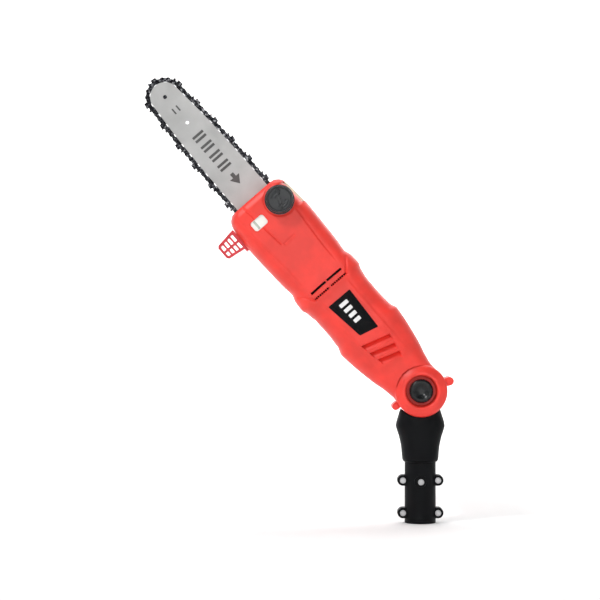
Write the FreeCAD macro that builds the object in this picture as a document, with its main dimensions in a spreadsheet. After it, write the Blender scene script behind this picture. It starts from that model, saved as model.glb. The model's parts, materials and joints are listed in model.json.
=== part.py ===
"""Head of an electric pole pruning saw with its clamshell pole socket.

Row frame: millimetres, +Z up along the pole, origin at the centre of the socket's mouth.
The near side faces -Y. The saw head is drawn upright in a frame of its own, whose origin is the
tilt axis: Z runs toward the bar's nose, X toward the tank side, Y to the bar side. It is then
leaned toward -X by head_tilt about the tilt axis.
"""
import FreeCAD, Part
import math
import os
import re
import Sketcher

Vector = FreeCAD.Vector
X_AXIS, Y_AXIS, Z_AXIS = Vector(1, 0, 0), Vector(0, 1, 0), Vector(0, 0, 1)
TURN = {
    "z": FreeCAD.Rotation(),
    "y": FreeCAD.Rotation(X_AXIS, -90),
    "x": FreeCAD.Rotation(Y_AXIS, 90),
}

SIZES = {
    # overall placing
    "hub_height": 197.5,
    "head_tilt": 41,
    # pole socket and neck
    "pole_bore": 17.75,
    "socket_radius": 23.2,
    "socket_length": 91,
    "spigot_radius": 21.4,
    "spigot_top": 112,
    "ear_offset": 26.2,
    "ear_radius": 8,
    "low_ear": 15,
    "high_ear": 63.5,
    "tongue_radius": 30,
    "tongue_half": 14,
    "saddle_radius": 39.6,
    # hub and lock
    "hub_radius": 39,
    "hub_half_depth": 38,
    "hub_hole": 23,
    "button_radius": 17.6,
    "sleeve_outer": 12,
    "sleeve_inner": 8.5,
    "stem_radius": 5,
    "tilt_fit": 0.1,
    # casing
    "shell_wall": 2.6,
    "casing_front": 379.5,
    "deck_start": 240,
    "deck_top": 21,
    "deck_wall": 2.5,
    # motor and gears
    "shaft_radius": 4,
    "bearing_fit": 0.05,
    "stator_radius": 37.5,
    "stator_bore": 24.4,
    "core_radius": 23.8,
    "core_start": 122,
    "core_length": 54,
    "commutator_radius": 12,
    "fan_start": 196,
    "fan_radius": 33,
    "spindle_station": 275,
    "spindle_radius": 6,
    "gear_radius": 24,
    "pinion_radius": 8,
    "gear_teeth": 36,
    "pinion_teeth": 12,
    # bar and chain
    "bar_plane": 26,
    "bar_thickness": 4.2,
    "bar_gauge": 1.35,
    "bar_tail": 299,
    "nose_station": 583.5,
    "nose_radius": 22.4,
    "groove_depth": 5,
    "stud_station": 325,
    "stud_radius": 4,
    "link_pitch": 9.525,
    "chain_lift": 4,
    "drive_links": 40,
    "rivet_radius": 1.5,
    # tank, cap, window
    "tank_start": 311,
    "tank_end": 373,
    "cap_station": 350.5,
    "cap_side": 27,
    "cap_radius": 22,
    "cap_top": 65,
}

# station along the head, half width, half depth, corner radius
CASING_STATIONS = [
    (8, 37.6, 34, 9),
    (18, 37.5, 34, 10),
    (36, 40.3, 35.5, 12),
    (54, 45, 37.5, 14),
    (72, 48.5, 40, 15),
    (90, 51.5, 42, 16),
    (107, 53.5, 43.5, 16),
    (118, 54.4, 44, 16),
    (127, 50.8, 43.8, 16),
    (150, 49.2, 43.5, 16),
    (180, 49.6, 44, 16),
    (197, 52.5, 45, 16),
    (206, 55.5, 46, 16),
    (220, 54.6, 46, 16),
    (233, 51, 45, 16),
    (251, 53, 45.5, 16),
    (280, 54.4, 46, 16),
    (322, 55.6, 46, 16),
    (352, 54.2, 45.6, 16),
    (367, 52.5, 45, 16),
    (374, 48.5, 43.5, 15),
    (379.5, 42, 40, 13),
]
BAR_SIDE = [(308, 28.6), (345, 29), (420, 29.2), (465, 28.6), (500, 27.6), (532, 26.2), (560, 24.2)]
LOUVRES = [(95.3, 19.3, 108.3, -23.2), (80.4, 16.4, 92.5, -20.9), (66.6, 14.2, 77.5, -17.5)]
EAR_RADII = [6.3, 5.2]
EAR_ROOT = 0.94
STOP_HALF_DEPTH = 12
CASING_SCREWS = [(-17.2, 41.4), (6.9, -43.9), (140, 43), (140, -43), (228, 45.8), (228, -45.8)]

doc = FreeCAD.newDocument("pole_saw")
sheet = doc.addObject("Spreadsheet::Sheet", "Sizes")
nodes = []


def fill_sheet():
    """Write the driving dimensions, one aliased cell each."""
    for row, (alias, value) in enumerate(SIZES.items(), start=1):
        sheet.set("A%d" % row, alias)
        sheet.set("B%d" % row, str(value))
        sheet.setAlias("B%d" % row, alias)
    doc.recompute()


def size(alias):
    return float(sheet.get(alias))


# ---------------------------------------------------------------- helpers


def bind(obj, path, value):
    """Set a property, through the sheet when the value is an expression on its aliases."""
    if isinstance(value, str):
        obj.setExpression(path, re.sub(r"\b[a-z]+_\w+", r"Sizes.\g<0>", value))
        return
    if path.startswith("Placement.Base."):
        obj.setExpression(path, repr(float(value)))
        return
    setattr(obj, path, value)


def put(obj, at, axis="z"):
    obj.Placement = FreeCAD.Placement(Vector(0, 0, 0), TURN[axis])
    for letter, value in zip("xyz", at):
        bind(obj, "Placement.Base." + letter, value)
    return obj


def box(name, sides, at):
    """A box with sides (x, y, z) whose lowest corner is at the given place."""
    obj = doc.addObject("Part::Box", name)
    for path, value in zip(("Length", "Width", "Height"), sides):
        bind(obj, path, value)
    return put(obj, at)


def rod(name, radius, length, at, axis="z"):
    """A cylinder that starts at the given place and runs along the axis."""
    obj = doc.addObject("Part::Cylinder", name)
    bind(obj, "Radius", radius)
    bind(obj, "Height", length)
    return put(obj, at, axis)


def cone(name, radius, end_radius, length, at, axis="z"):
    obj = doc.addObject("Part::Cone", name)
    bind(obj, "Radius1", radius)
    bind(obj, "Radius2", end_radius)
    bind(obj, "Height", length)
    return put(obj, at, axis)


def cut(name, base, tools):
    """Base minus one or more tools."""
    obj = doc.addObject("Part::Cut", name)
    obj.Base = base
    obj.Tool = tools[0] if len(tools) == 1 else fuse(name + "_tools", tools)
    return obj


def fuse(name, parts):
    obj = doc.addObject("Part::MultiFuse", name)
    obj.Shapes = parts
    return obj


def common(name, parts):
    obj = doc.addObject("Part::MultiCommon", name)
    obj.Shapes = parts
    return obj


def group(name, parts):
    """Separate solids kept side by side."""
    obj = doc.addObject("Part::Compound", name)
    obj.Links = parts
    return obj


def ring(name, outer, inner, length, at, axis="z"):
    body = rod(name + "_outer", outer, length, at, axis)
    return cut(name, body, [rod(name + "_bore", inner, length, at, axis)])


def feature(name, shape):
    obj = doc.addObject("Part::Feature", name)
    obj.Shape = shape
    return obj


def plate(name, points, at_y, thickness):
    """A flat plate: a sketched outline of (x, z) points, thickened along +Y."""
    sketch = doc.addObject("Sketcher::SketchObject", name + "_outline")
    turn = FreeCAD.Rotation(X_AXIS, 90)
    sketch.Placement = FreeCAD.Placement(Vector(0, 0, 0), turn)
    bind(sketch, "Placement.Base.y", at_y)
    corners = [Vector(x, z, 0) for x, z in points]
    for start, end in zip(corners, corners[1:] + corners[:1]):
        sketch.addGeometry(Part.LineSegment(start, end))
    for index in range(len(corners)):
        sketch.addConstraint(Sketcher.Constraint("Coincident", index, 2, (index + 1) % len(corners), 1))
    obj = doc.addObject("Part::Extrusion", name)
    obj.Base = sketch
    obj.DirMode = "Custom"
    obj.Dir = Y_AXIS
    bind(obj, "LengthFwd", thickness)
    obj.Solid = True
    return obj


def node(label, obj):
    """Keep an object as a finished sub-part of the pole side."""
    obj.Label = label
    nodes.append(obj)
    return obj


def head_node(label, obj):
    """Keep an object drawn in the head's frame, leaned to its place on the hub."""
    whole = group(label + "_group", [obj]) if obj.TypeId != "Part::Compound" else obj
    whole.Placement = FreeCAD.Placement(Vector(0, 0, 0), FreeCAD.Rotation(Y_AXIS, 1))
    bind(whole, "Placement.Base.z", "hub_height")
    bind(whole, "Placement.Rotation.Angle", "-head_tilt")
    return node(label, whole)


def mirrored(shape):
    return shape.mirror(Vector(0, 0, 0), Y_AXIS)


def polygon_prism(points, at_y, thickness):
    """A prism on an (x, z) outline, from at_y toward +Y."""
    corners = [Vector(x, at_y, z) for x, z in points]
    return Part.Face(Part.makePolygon(corners + corners[:1])).extrude(Vector(0, thickness, 0))


def circle_points(radius, count, centre=(0, 0), start=0.0):
    step = 2 * math.pi / count
    angles = [start + step * index for index in range(count)]
    return [(centre[0] + radius * math.cos(a), centre[1] + radius * math.sin(a)) for a in angles]


def star_points(outer, inner, count, flat=0.5):
    """Outline of a toothed disc with flat tips, around the origin."""
    step = 2 * math.pi / count
    points = []
    for index in range(count):
        corners = [(inner, -0.5), (inner, -0.5 + flat / 2), (outer, -flat / 4), (outer, flat / 4)]
        for radius, turn in corners:
            angle = step * (index + turn)
            points.append((radius * math.cos(angle), radius * math.sin(angle)))
    return points


# ---------------------------------------------------------------- casing


def half_section(station, width, depth, corner):
    """One half of a rounded-box section, open side on the parting plane."""
    bow = corner * (1 - math.sqrt(0.5))
    near = depth - corner
    left_arc = Part.Arc(
        Vector(-width, near, station),
        Vector(-width + bow, depth - bow, station),
        Vector(-width + corner, depth, station),
    )
    right_arc = Part.Arc(
        Vector(width - corner, depth, station),
        Vector(width - bow, depth - bow, station),
        Vector(width, near, station),
    )
    edges = [
        Part.LineSegment(Vector(-width, 0, station), Vector(-width, near, station)),
        left_arc,
        Part.LineSegment(Vector(-width + corner, depth, station), Vector(width - corner, depth, station)),
        right_arc,
        Part.LineSegment(Vector(width, near, station), Vector(width, 0, station)),
        Part.LineSegment(Vector(width, 0, station), Vector(-width, 0, station)),
    ]
    return Part.Wire([edge.toShape() for edge in edges])


def half_body(inset, start, end):
    """Solid half of the head's body toward +Y, its skin moved in by inset."""
    kept = [row for row in CASING_STATIONS if start < row[0] < end]
    first = casing_at(start)
    last = casing_at(end)
    wires = []
    for station, width, depth, corner in [first] + kept + [last]:
        wires.append(half_section(station, width - inset, depth - inset, corner - inset))
    return Part.makeLoft(wires, True, True)


def casing_at(station):
    """Section sizes at any station, between the listed ones."""
    for low, high in zip(CASING_STATIONS, CASING_STATIONS[1:]):
        if low[0] <= station <= high[0]:
            share = (station - low[0]) / (high[0] - low[0])
            return tuple(a + share * (b - a) for a, b in zip(low, high))
    raise ValueError("no section at %s" % station)


def vent_tools(name):
    """Cutters for the collar's vent slots and the rear louvres on the near side."""
    tools = [
        box(name + "_vent_low", (26.8, 12, 2.7), (-28.4, -50, 213.7)),
        box(name + "_vent_high", (26.4, 12, 2.7), (2, -50, 213.7)),
    ]
    for index in range(12):
        offset = -27.5 + index * 4.3 + (4 if index > 5 else 0)
        tools.append(box(name + "_dash_%d" % index, (3, 12, 1.6), (offset, -50, 204.2)))
    for index, (high_z, high_x, low_z, low_x) in enumerate(LOUVRES):
        points = [(high_x, high_z), (low_x, low_z), (low_x, low_z - 3), (high_x, high_z - 3)]
        tools.append(plate(name + "_louvre_%d" % index, points, -50, 14))
    return tools


def hub_cheek(name, low_y):
    """One hub disc, hollowed for the button or the pivot screw."""
    return rod(name, "hub_radius", "hub_half_depth - tongue_half - 0.3", (0, low_y, 0), "y")


def tongue_slot(name):
    """Space in which the neck's tongue turns inside the head."""
    disc_foot = (0, "-tongue_half - 0.3", 0)
    disc = rod(name + "_disc", "tongue_radius + 0.5", "2 * tongue_half + 0.6", disc_foot, "y")
    rear = box(name + "_rear", (120, "2 * tongue_half + 0.6", 60), (-60, "-tongue_half - 0.3", -53))
    return [disc, rear]


def make_shells():
    body_start = 8
    front = size("casing_front")
    wall = size("shell_wall")
    outer = half_body(0, body_start, front)
    inner = half_body(wall, 36, front - wall)

    left_outer = feature("left_body", mirrored(outer))
    left_inner = feature("left_cavity", mirrored(inner))
    left_whole = fuse("left_whole", [left_outer, hub_cheek("left_cheek", "-hub_half_depth")])
    left_cuts = [left_inner] + tongue_slot("left_slot") + vent_tools("left")
    left_cuts.append(rod("button_bore", "hub_hole", 19.5, (0, "-hub_half_depth", 0), "y"))
    left_cuts.append(rod("left_pivot_bore", "sleeve_outer", 30, (0, -30, 0), "y"))
    left_cuts.append(rod("cap_mouth", 17.3, 20, ("cap_side", -55, "cap_station"), "y"))
    left_cuts.append(box("window_mouth", (24.3, 20, 16.5), (-30.3, -55, 336.1)))
    left_cuts.append(box("tank_strip_mouth", (12, 34, 41), (48, -17, 327)))
    left_room = cut("left_hollow", left_whole, left_cuts)
    left_bosses = hub_ears("left_ear", -22) + screw_bosses("left_boss", -22, 22)
    left_shell = fuse("left_eared", [left_room] + left_bosses)
    bores = screw_holes("left_screw_bores", -40, 41, 1.6)
    head_node("casing_left_shell", cut("left_shell", left_shell, bores))

    right_outer = feature("right_body", outer)
    right_inner = feature("right_cavity", inner)
    above_deck = box("above_deck", (160, 60, 200), (-80, "deck_top", "deck_start"))
    under_deck = box("under_deck", (160, 60, 200), (-80, "deck_top - deck_wall", "deck_start - 2.5"))
    right_whole = fuse("right_whole", [right_outer, hub_cheek("right_cheek", "tongue_half + 0.3")])
    cavity = cut("right_room", right_inner, [under_deck])
    right_cuts = [above_deck, cavity] + tongue_slot("right_slot")
    right_cuts.append(rod("pivot_screw_seat", 13, 12, (0, 29, 0), "y"))
    right_cuts.append(rod("right_pivot_bore", "sleeve_outer", 18, (0, 12, 0), "y"))
    right_cuts.append(rod("spindle_hole", 14.5, 12, (0, 14, "spindle_station"), "y"))
    right_cuts.append(rod("stud_hole", "stud_radius", 12, (0, 14, "stud_station"), "y"))
    right_cuts.append(box("tension_slot", (5, 12, 18), (-21.5, 14, 319)))
    right_cuts.append(rod("tension_driver_hole", 3.6, 12, (-19, 13.4, 372), "z"))
    right_cuts.append(box("right_strip_mouth", (12, 17, 41), (48, 0, 327)))
    right_cuts += exhaust_slots()
    right_room = cut("right_hollow", right_whole, right_cuts)
    right_bosses = hub_ears("right_ear", 0) + screw_bosses("right_boss", 0, 40)
    right_shell = fuse("right_eared", [right_room] + right_bosses)
    right_bores = screw_holes("right_screw_bores", -1, 60, 2.1)
    for index, (station, side) in enumerate(CASING_SCREWS[2:]):
        right_bores.append(rod("right_head_seat_%d" % index, 3.9, 20, (side, 37.6, station), "y"))
    head_node("casing_right_shell", cut("right_shell", right_shell, right_bores))

    cover_outer = feature("cover_body", outer)
    cover_room = feature("cover_room", inner)
    cover_zone = box("cover_zone", (160, 60, 200), (-80, "deck_top", "deck_start + 0.4"))
    cover_block = common("cover_block", [cover_outer, cover_zone])
    cavity_zone = box("cavity_zone", (160, 22, 200), (-80, 17, "deck_start + 2.8"))
    cover_cavity = common("cover_cavity", [cover_room, cavity_zone])
    mouth = box("chain_mouth", (86, 13.5, 20), (-43, "deck_top - 1", 366))
    knob_seat = rod("knob_seat", 20, 12, (0, 41.5, "stud_station"), "y")
    knob_hole = rod("knob_hole", "stud_radius + 0.4", 30, (0, 20, "stud_station"), "y")
    cover = cut("cover_shell", cover_block, [cover_cavity, mouth, knob_seat, knob_hole])
    head_node("sprocket_cover", cover)


def exhaust_slots():
    """Side-vent slots of the bar-side shell, around the fan."""
    slots = []
    for index in range(5):
        slots.append(box("exhaust_%d" % index, (52, 14, 2.6), (-26, 38, 196 + index * 6.5)))
    return slots


def screw_bosses(name, low_y, length):
    """Posts that carry the casing screws behind the ears."""
    bosses = []
    for index, (station, side) in enumerate(CASING_SCREWS[2:]):
        bosses.append(rod("%s_%d" % (name, index), 4.5, length, (side, low_y, station), "y"))
    return bosses


def screw_holes(name, low_y, length, radius):
    holes = []
    for index, (station, side) in enumerate(CASING_SCREWS):
        holes.append(rod("%s_%d" % (name, index), radius, length, (side, low_y, station), "y"))
    return holes


def hub_ears(name, low_y):
    """The two screw ears on the hub's rim, on one side of the parting plane."""
    ears = []
    for index, (station, side) in enumerate(CASING_SCREWS[:2]):
        ears.append(rod("%s_%d" % (name, index), EAR_RADII[index], 22, (side, low_y, station), "y"))
        root = (side * EAR_ROOT, low_y, station * EAR_ROOT)
        ears.append(rod("%s_root_%d" % (name, index), EAR_RADII[index], 22, root, "y"))
    return ears


def make_casing_trim():
    screws = []
    for index, (station, side) in enumerate(CASING_SCREWS):
        length = 30 if index < 2 else 50
        low = 22 if index < 2 else 37.6
        shank_at = (side, low - length + 2, station)
        shank = rod("casing_screw_shank_%d" % index, 1.5, length - 2, shank_at, "y")
        head = rod("casing_screw_head_%d" % index, 3.4, 2.4, (side, low, station), "y")
        screws.append(fuse("casing_screw_%d" % index, [shank, head]))
    head_node("casing_screws", group("casing_screw_set", screws))

    points = [(13.6, 115), (17.6, 183), (-22.7, 183.8), (-14.6, 122.5)]
    blank = plate("label_blank", points, -45, 2.4)
    head_node("label_plate", cut("label_body", blank, [doc.getObject("left_body")]))


# ---------------------------------------------------------------- branch stop


def make_branch_stop():
    """Open lattice bumper on the bar's lower side: outer walls around crossed ribs."""
    outline = [(-54, 325), (-58, 331), (-86, 335), (-88.7, 338)]
    outline += [(-88.7, 357), (-86, 360), (-60, 363.5), (-54, 364)]
    room = [(-54, 330.6), (-59, 335), (-84, 338.6), (-84.9, 340.2)]
    room += [(-84.9, 354.6), (-84, 356.2), (-60, 359.2), (-54, 359.8)]
    depth = 2 * STOP_HALF_DEPTH
    block = plate("stop_block", outline, -STOP_HALF_DEPTH, depth)
    opening = plate("stop_room", room, -STOP_HALF_DEPTH - 1, depth + 2)
    parts = [cut("stop_frame", block, [opening])]
    parts.append(box("stop_long_rib", (32, depth, 3.4), (-87, -STOP_HALF_DEPTH, 344.7)))
    for index, side in enumerate((-65, -72, -79)):
        rib_corner = (side - 1.5, -STOP_HALF_DEPTH, 335)
        parts.append(box("stop_cross_rib_%d" % index, (3, depth, 25), rib_corner))
    parts.append(box("stop_foot", (5.6, depth, 38), (-59.6, -STOP_HALF_DEPTH, 325.5)))
    casing = [doc.getObject("left_body"), doc.getObject("right_body")]
    head_node("branch_stop", cut("stop_body", fuse("stop_whole", parts), casing))


# ---------------------------------------------------------------- motor


def make_motor():
    head_node("armature_shaft", rod("shaft_body", "shaft_radius", 173, (0, 0, 86)))
    core = ring("core_body", "core_radius", "shaft_radius", "core_length", (0, 0, "core_start"))
    slots = []
    for index, (x, y) in enumerate(circle_points(size("core_radius"), 12)):
        slots.append(rod("core_slot_%d" % index, 1.6, "core_length", (x, y, "core_start")))
    head_node("armature_core", cut("core_slotted", core, slots))
    low_turns = ring("low_turns", 19, 4.2, 8, (0, 0, 113.5))
    high_turns = ring("high_turns", 19, 4.2, 8, (0, 0, 176.5))
    head_node("armature_winding", group("armature_turns", [low_turns, high_turns]))
    head_node("commutator", commutator_bars())
    head_node("cooling_fan", fan_body())

    stator = ring("stator_body", "stator_radius", "stator_bore", "core_length", (0, 0, "core_start"))
    head_node("motor_stator_core", stator)
    low_coil = ring("low_coil", 35, 26, 9, (0, 0, 112.5))
    high_coil = ring("high_coil", 35, 26, 9, (0, 0, 176.5))
    head_node("stator_windings", group("stator_coils", [low_coil, high_coil]))

    head_node("rear_bearing", ring("rear_race", 11, "shaft_radius + bearing_fit", 7, (0, 0, 87)))
    head_node("front_bearing", ring("front_race", 13, "shaft_radius + bearing_fit", 8, (0, 0, 224)))
    rear_plate = box("bracket_plate", (76, 40, 4), (-38, -20, 82.5))
    rear_cup = rod("bracket_cup", 14, 11, (0, 0, 82.5))
    bracket = fuse("bracket_whole", [rear_plate, rear_cup])
    bracket_cuts = [rod("bracket_seat", 11, 8, (0, 0, 87)), rod("bracket_eye", 6, 8, (0, 0, 80))]
    head_node("motor_end_bracket", cut("bracket_body", bracket, bracket_cuts))

    holders, brushes, springs = [], [], []
    for name, side in (("high", 1), ("low", -1)):
        start = 13.5 if side > 0 else -31.5
        shell = box(name + "_holder_block", (18, 11, 12), (start, -5.5, 96))
        channel = box(name + "_holder_channel", (20, 7, 8), (start - 1, -3.5, 98))
        holders.append(cut(name + "_holder", shell, [channel]))
        brush_start = 12.1 if side > 0 else -24.1
        brushes.append(box(name + "_brush", (12, 6.6, 7.6), (brush_start, -3.3, 98.2)))
        spring_start = 24.6 if side > 0 else -31
        springs.append(ring(name + "_brush_spring", 2.6, 1.8, 6.4, (spring_start, 0, 102), "x"))
    head_node("brush_holders", group("holder_pair", holders))
    head_node("carbon_brushes", group("brush_pair", brushes))
    head_node("brush_springs", group("spring_pair", springs))


def commutator_bars():
    body = ring("commutator_body", "commutator_radius", "shaft_radius", 15, (0, 0, 96))
    gaps = []
    for index in range(12):
        gap = box("commutator_gap_%d" % index, (3, 0.5, 20), (10.5, -0.25, 94))
        turned = FreeCAD.Rotation(Z_AXIS, 30 * index)
        gap.Placement = FreeCAD.Placement(turned.multVec(Vector(10.5, -0.25, 94)), turned)
        gaps.append(gap)
    return cut("commutator_slotted", body, gaps)


def fan_body():
    """Centrifugal fan: a back disc, a hub and straight blades."""
    start = size("fan_start")
    disc = Part.makeCylinder(size("fan_radius"), 1.8, Vector(0, 0, start))
    hub = Part.makeCylinder(9, 12, Vector(0, 0, start))
    blades = []
    for index in range(10):
        blade = Part.makeBox(17, 1.6, 10, Vector(14, -0.8, start + 1))
        blade.rotate(Vector(14, 0, 0), Z_AXIS, 20)
        blade.rotate(Vector(0, 0, 0), Z_AXIS, 36 * index)
        blades.append(blade)
    bore = Part.makeCylinder(size("shaft_radius"), 40, Vector(0, 0, start - 10))
    return feature("fan_shape", disc.multiFuse([hub] + blades).cut(bore).removeSplitter())


# ---------------------------------------------------------------- drive


def pinion_shape():
    """Bevel pinion on the motor shaft; its cone points at the spindle's axis."""
    big = size("pinion_radius")
    teeth = int(size("pinion_teeth"))
    start = size("spindle_station") - size("gear_radius")
    wires = []
    for share, station in ((1.0, start), (0.69, start + 7.6)):
        outline = star_points(big * share, (big - 1.9) * share, teeth)
        corners = [Vector(x, y, station) for x, y in outline]
        wires.append(Part.makePolygon(corners + corners[:1]))
    crown = Part.makeLoft(wires, True, True)
    hub = Part.makeCylinder(7, 9, Vector(0, 0, start - 9))
    bore = Part.makeCylinder(size("shaft_radius"), 30, Vector(0, 0, start - 12))
    return crown.fuse(hub).cut(bore)


def bevel_gear_shape():
    """Bevel gear on the sprocket spindle: a dished disc with radial teeth toward the motor."""
    radius = size("gear_radius")
    teeth = int(size("gear_teeth"))
    outer_face, inner_face, back = 9.9, 7.4, 14.0
    profile = [(6, 9.6), (16.4, inner_face), (radius + 0.4, outer_face)]
    profile += [(radius + 0.4, back - 1), (12, back), (6, back)]
    corners = [Vector(x, y, 0) for x, y in profile]
    face = Part.Face(Part.makePolygon(corners + corners[:1]))
    disc = face.revolve(Vector(0, 0, 0), Y_AXIS, 360)
    ridge_face = [(16.6, inner_face + 0.6), (16.6, 5.95), (radius, 8.35), (radius, outer_face + 0.6)]
    ridges = []
    for index in range(teeth):
        ridge_corners = [Vector(x, y, -0.75) for x, y in ridge_face]
        ridge = Part.Face(Part.makePolygon(ridge_corners + ridge_corners[:1])).extrude(Vector(0, 0, 1.5))
        ridge.rotate(Vector(0, 0, 0), Y_AXIS, 360 / teeth * index)
        ridges.append(ridge)
    gear = disc.multiFuse(ridges)
    gear.translate(Vector(0, 0, size("spindle_station")))
    return gear


def make_drive():
    centre = size("spindle_station")
    plane = size("bar_plane")
    head_node("bevel_pinion", feature("pinion_shape", pinion_shape()))
    head_node("bevel_gear", feature("gear_shape", bevel_gear_shape()))
    spindle = rod("spindle_body", "spindle_radius", 59, (0, -24, "spindle_station"), "y")
    head_node("sprocket_spindle", spindle)
    bore = "spindle_radius + bearing_fit"
    near_bearing = ring("near_spindle_race", 13, bore, 7, (0, -24, "spindle_station"), "y")
    far_bearing = ring("far_spindle_race", 13, bore, 6, (0, 14.4, "spindle_station"), "y")
    head_node("spindle_bearings", group("spindle_races", [near_bearing, far_bearing]))
    head_node("drive_sprocket", feature("sprocket_shape", sprocket_shape(centre, plane)))
    clip = ring("clip_body", 9, "spindle_radius", 1.2, (0, "bar_plane + 6.2", "spindle_station"), "y")
    gap = box("clip_gap", (7, 5, 12), (-3.5, "bar_plane + 5", "spindle_station - 12"))
    head_node("sprocket_clip", cut("clip_open", clip, [gap]))
    head_node("pump_worm", ring("worm_body", 9, "spindle_radius", 9, (0, -14, "spindle_station"), "y"))

    block = rod("housing_drum", 32, 45.9, (0, -27, "spindle_station"), "y")
    nose = rod("housing_nose", 18, 40, (0, 0, 219))
    whole = fuse("housing_whole", [block, nose])
    cuts = [
        rod("housing_gear_room", 27.5, 32, (0, -17, "spindle_station"), "y"),
        rod("housing_seats", 13, 46.5, (0, -24, "spindle_station"), "y"),
        rod("housing_front_seat", 13, 9, (0, 0, 223.9)),
        rod("housing_shaft_room", 11, 60, (0, 0, 232)),
        rod("housing_shaft_eye", 6, 20, (0, 0, 215)),
        box("housing_deck_trim", (120, 10, 120), (-60, 18.4, 200)),
    ]
    screws = []
    for index, (x, z) in enumerate(circle_points(29.7, 4, (0, centre), math.pi / 4)):
        shank = rod("housing_screw_shank_%d" % index, 1.9, 12, (x, -27, z), "y")
        head = rod("housing_screw_head_%d" % index, 3.6, 2.4, (x, -29.4, z), "y")
        screws.append(fuse("housing_screw_%d" % index, [shank, head]))
        cuts.append(rod("housing_screw_bore_%d" % index, 1.9, 13, (x, -28, z), "y"))
    head_node("gear_housing", cut("housing_body", whole, cuts))
    head_node("gear_housing_screws", group("housing_screw_set", screws))
    pump = box("pump_block", (12, 14, 20), (33, -20, 262))
    head_node("oil_pump_body", cut("pump_body", pump, [rod("pump_bore", 2, 24, (39, -13, 260))]))


def sprocket_shape(centre, plane):
    """Chain sprocket: a plain core inside the chain's tangs and a toothed disc on each side."""
    core = Part.makeCylinder(10.8, 9.8, Vector(0, plane - 4.7, 0), Y_AXIS)
    outline = star_points(16.5, 12.6, 6)
    low_disc = polygon_prism(outline, plane - 4.7, 2)
    high_disc = polygon_prism(outline, plane + 2.7, 2)
    bore = Part.makeCylinder(size("spindle_radius"), 60, Vector(0, 0, 0), Y_AXIS)
    whole = core.multiFuse([low_disc, high_disc]).cut(bore)
    whole.translate(Vector(0, 0, centre))
    return whole


# ---------------------------------------------------------------- bar and chain


def bar_wire(grow):
    """Closed outline of the bar in the XZ plane, moved outward by grow."""
    tail = size("bar_tail") - grow
    half = BAR_SIDE[0][1] + grow
    nose = size("nose_station")
    radius = size("nose_radius") + grow
    side = [Vector(width + grow, 0, station) for station, width in BAR_SIDE]
    start = Vector(radius, 0, nose)
    curve = Part.BSplineCurve()
    curve.interpolate(side + [start])
    left = curve.toShape().mirror(Vector(0, 0, 0), X_AXIS)
    tip = Part.Arc(start, Vector(0, 0, nose + radius), Vector(-radius, 0, nose)).toShape()
    corner = 9
    tail_edges = [
        Part.LineSegment(side[0], Vector(half - corner, 0, tail)).toShape(),
        Part.LineSegment(Vector(half - corner, 0, tail), Vector(corner - half, 0, tail)).toShape(),
        Part.LineSegment(Vector(corner - half, 0, tail), Vector(-side[0].x, 0, side[0].z)).toShape(),
    ]
    edges = [curve.toShape(), tip, left] + tail_edges
    return Part.Wire(Part.__sortEdges__(edges))


def bar_shape():
    """Laminated bar: two outer plates on a smaller core, which leaves the chain's groove."""
    plane = size("bar_plane")
    half = size("bar_thickness") / 2
    half_gauge = size("bar_gauge") / 2
    outer_face = Part.Face(bar_wire(0))
    core_face = Part.Face(bar_wire(-size("groove_depth")))
    plates = []
    for start in (plane - half, plane + half_gauge):
        layer = outer_face.copy()
        layer.translate(Vector(0, start, 0))
        plates.append(layer.extrude(Vector(0, half - half_gauge, 0)))
    core = core_face.copy()
    core.translate(Vector(0, plane - half_gauge, 0))
    core = core.extrude(Vector(0, 2 * half_gauge, 0))
    core_foot = Vector(0, plane - half_gauge, size("nose_station"))
    nose_room = Part.makeCylinder(20.4, 2 * half_gauge, core_foot, Y_AXIS)
    bar = plates[0].multiFuse([plates[1], core.cut(nose_room)])
    slot_width = 2 * size("stud_radius") + 0.4
    slot_start, slot_end = size("stud_station") - 0.4, size("stud_station") + 8
    slot_corner = Vector(-slot_width / 2, plane - 10, slot_start)
    slot = Part.makeBox(slot_width, 20, slot_end - slot_start, slot_corner)
    end_places = [Vector(0, plane - 10, z) for z in (slot_start, slot_end)]
    ends = [Part.makeCylinder(slot_width / 2, 20, spot, Y_AXIS) for spot in end_places]
    holes = [
        Part.makeCylinder(3.2, 20, Vector(-19, plane - 10, 331), Y_AXIS),
        Part.makeCylinder(2.5, 20, Vector(0, plane - 10, 532.5), Y_AXIS),
        Part.makeCylinder(3, 20, Vector(0, plane - 10, size("nose_station")), Y_AXIS),
    ]
    return bar.cut(slot.multiFuse(ends)).cut(holes[0]).cut(holes[1]).cut(holes[2])


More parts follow.
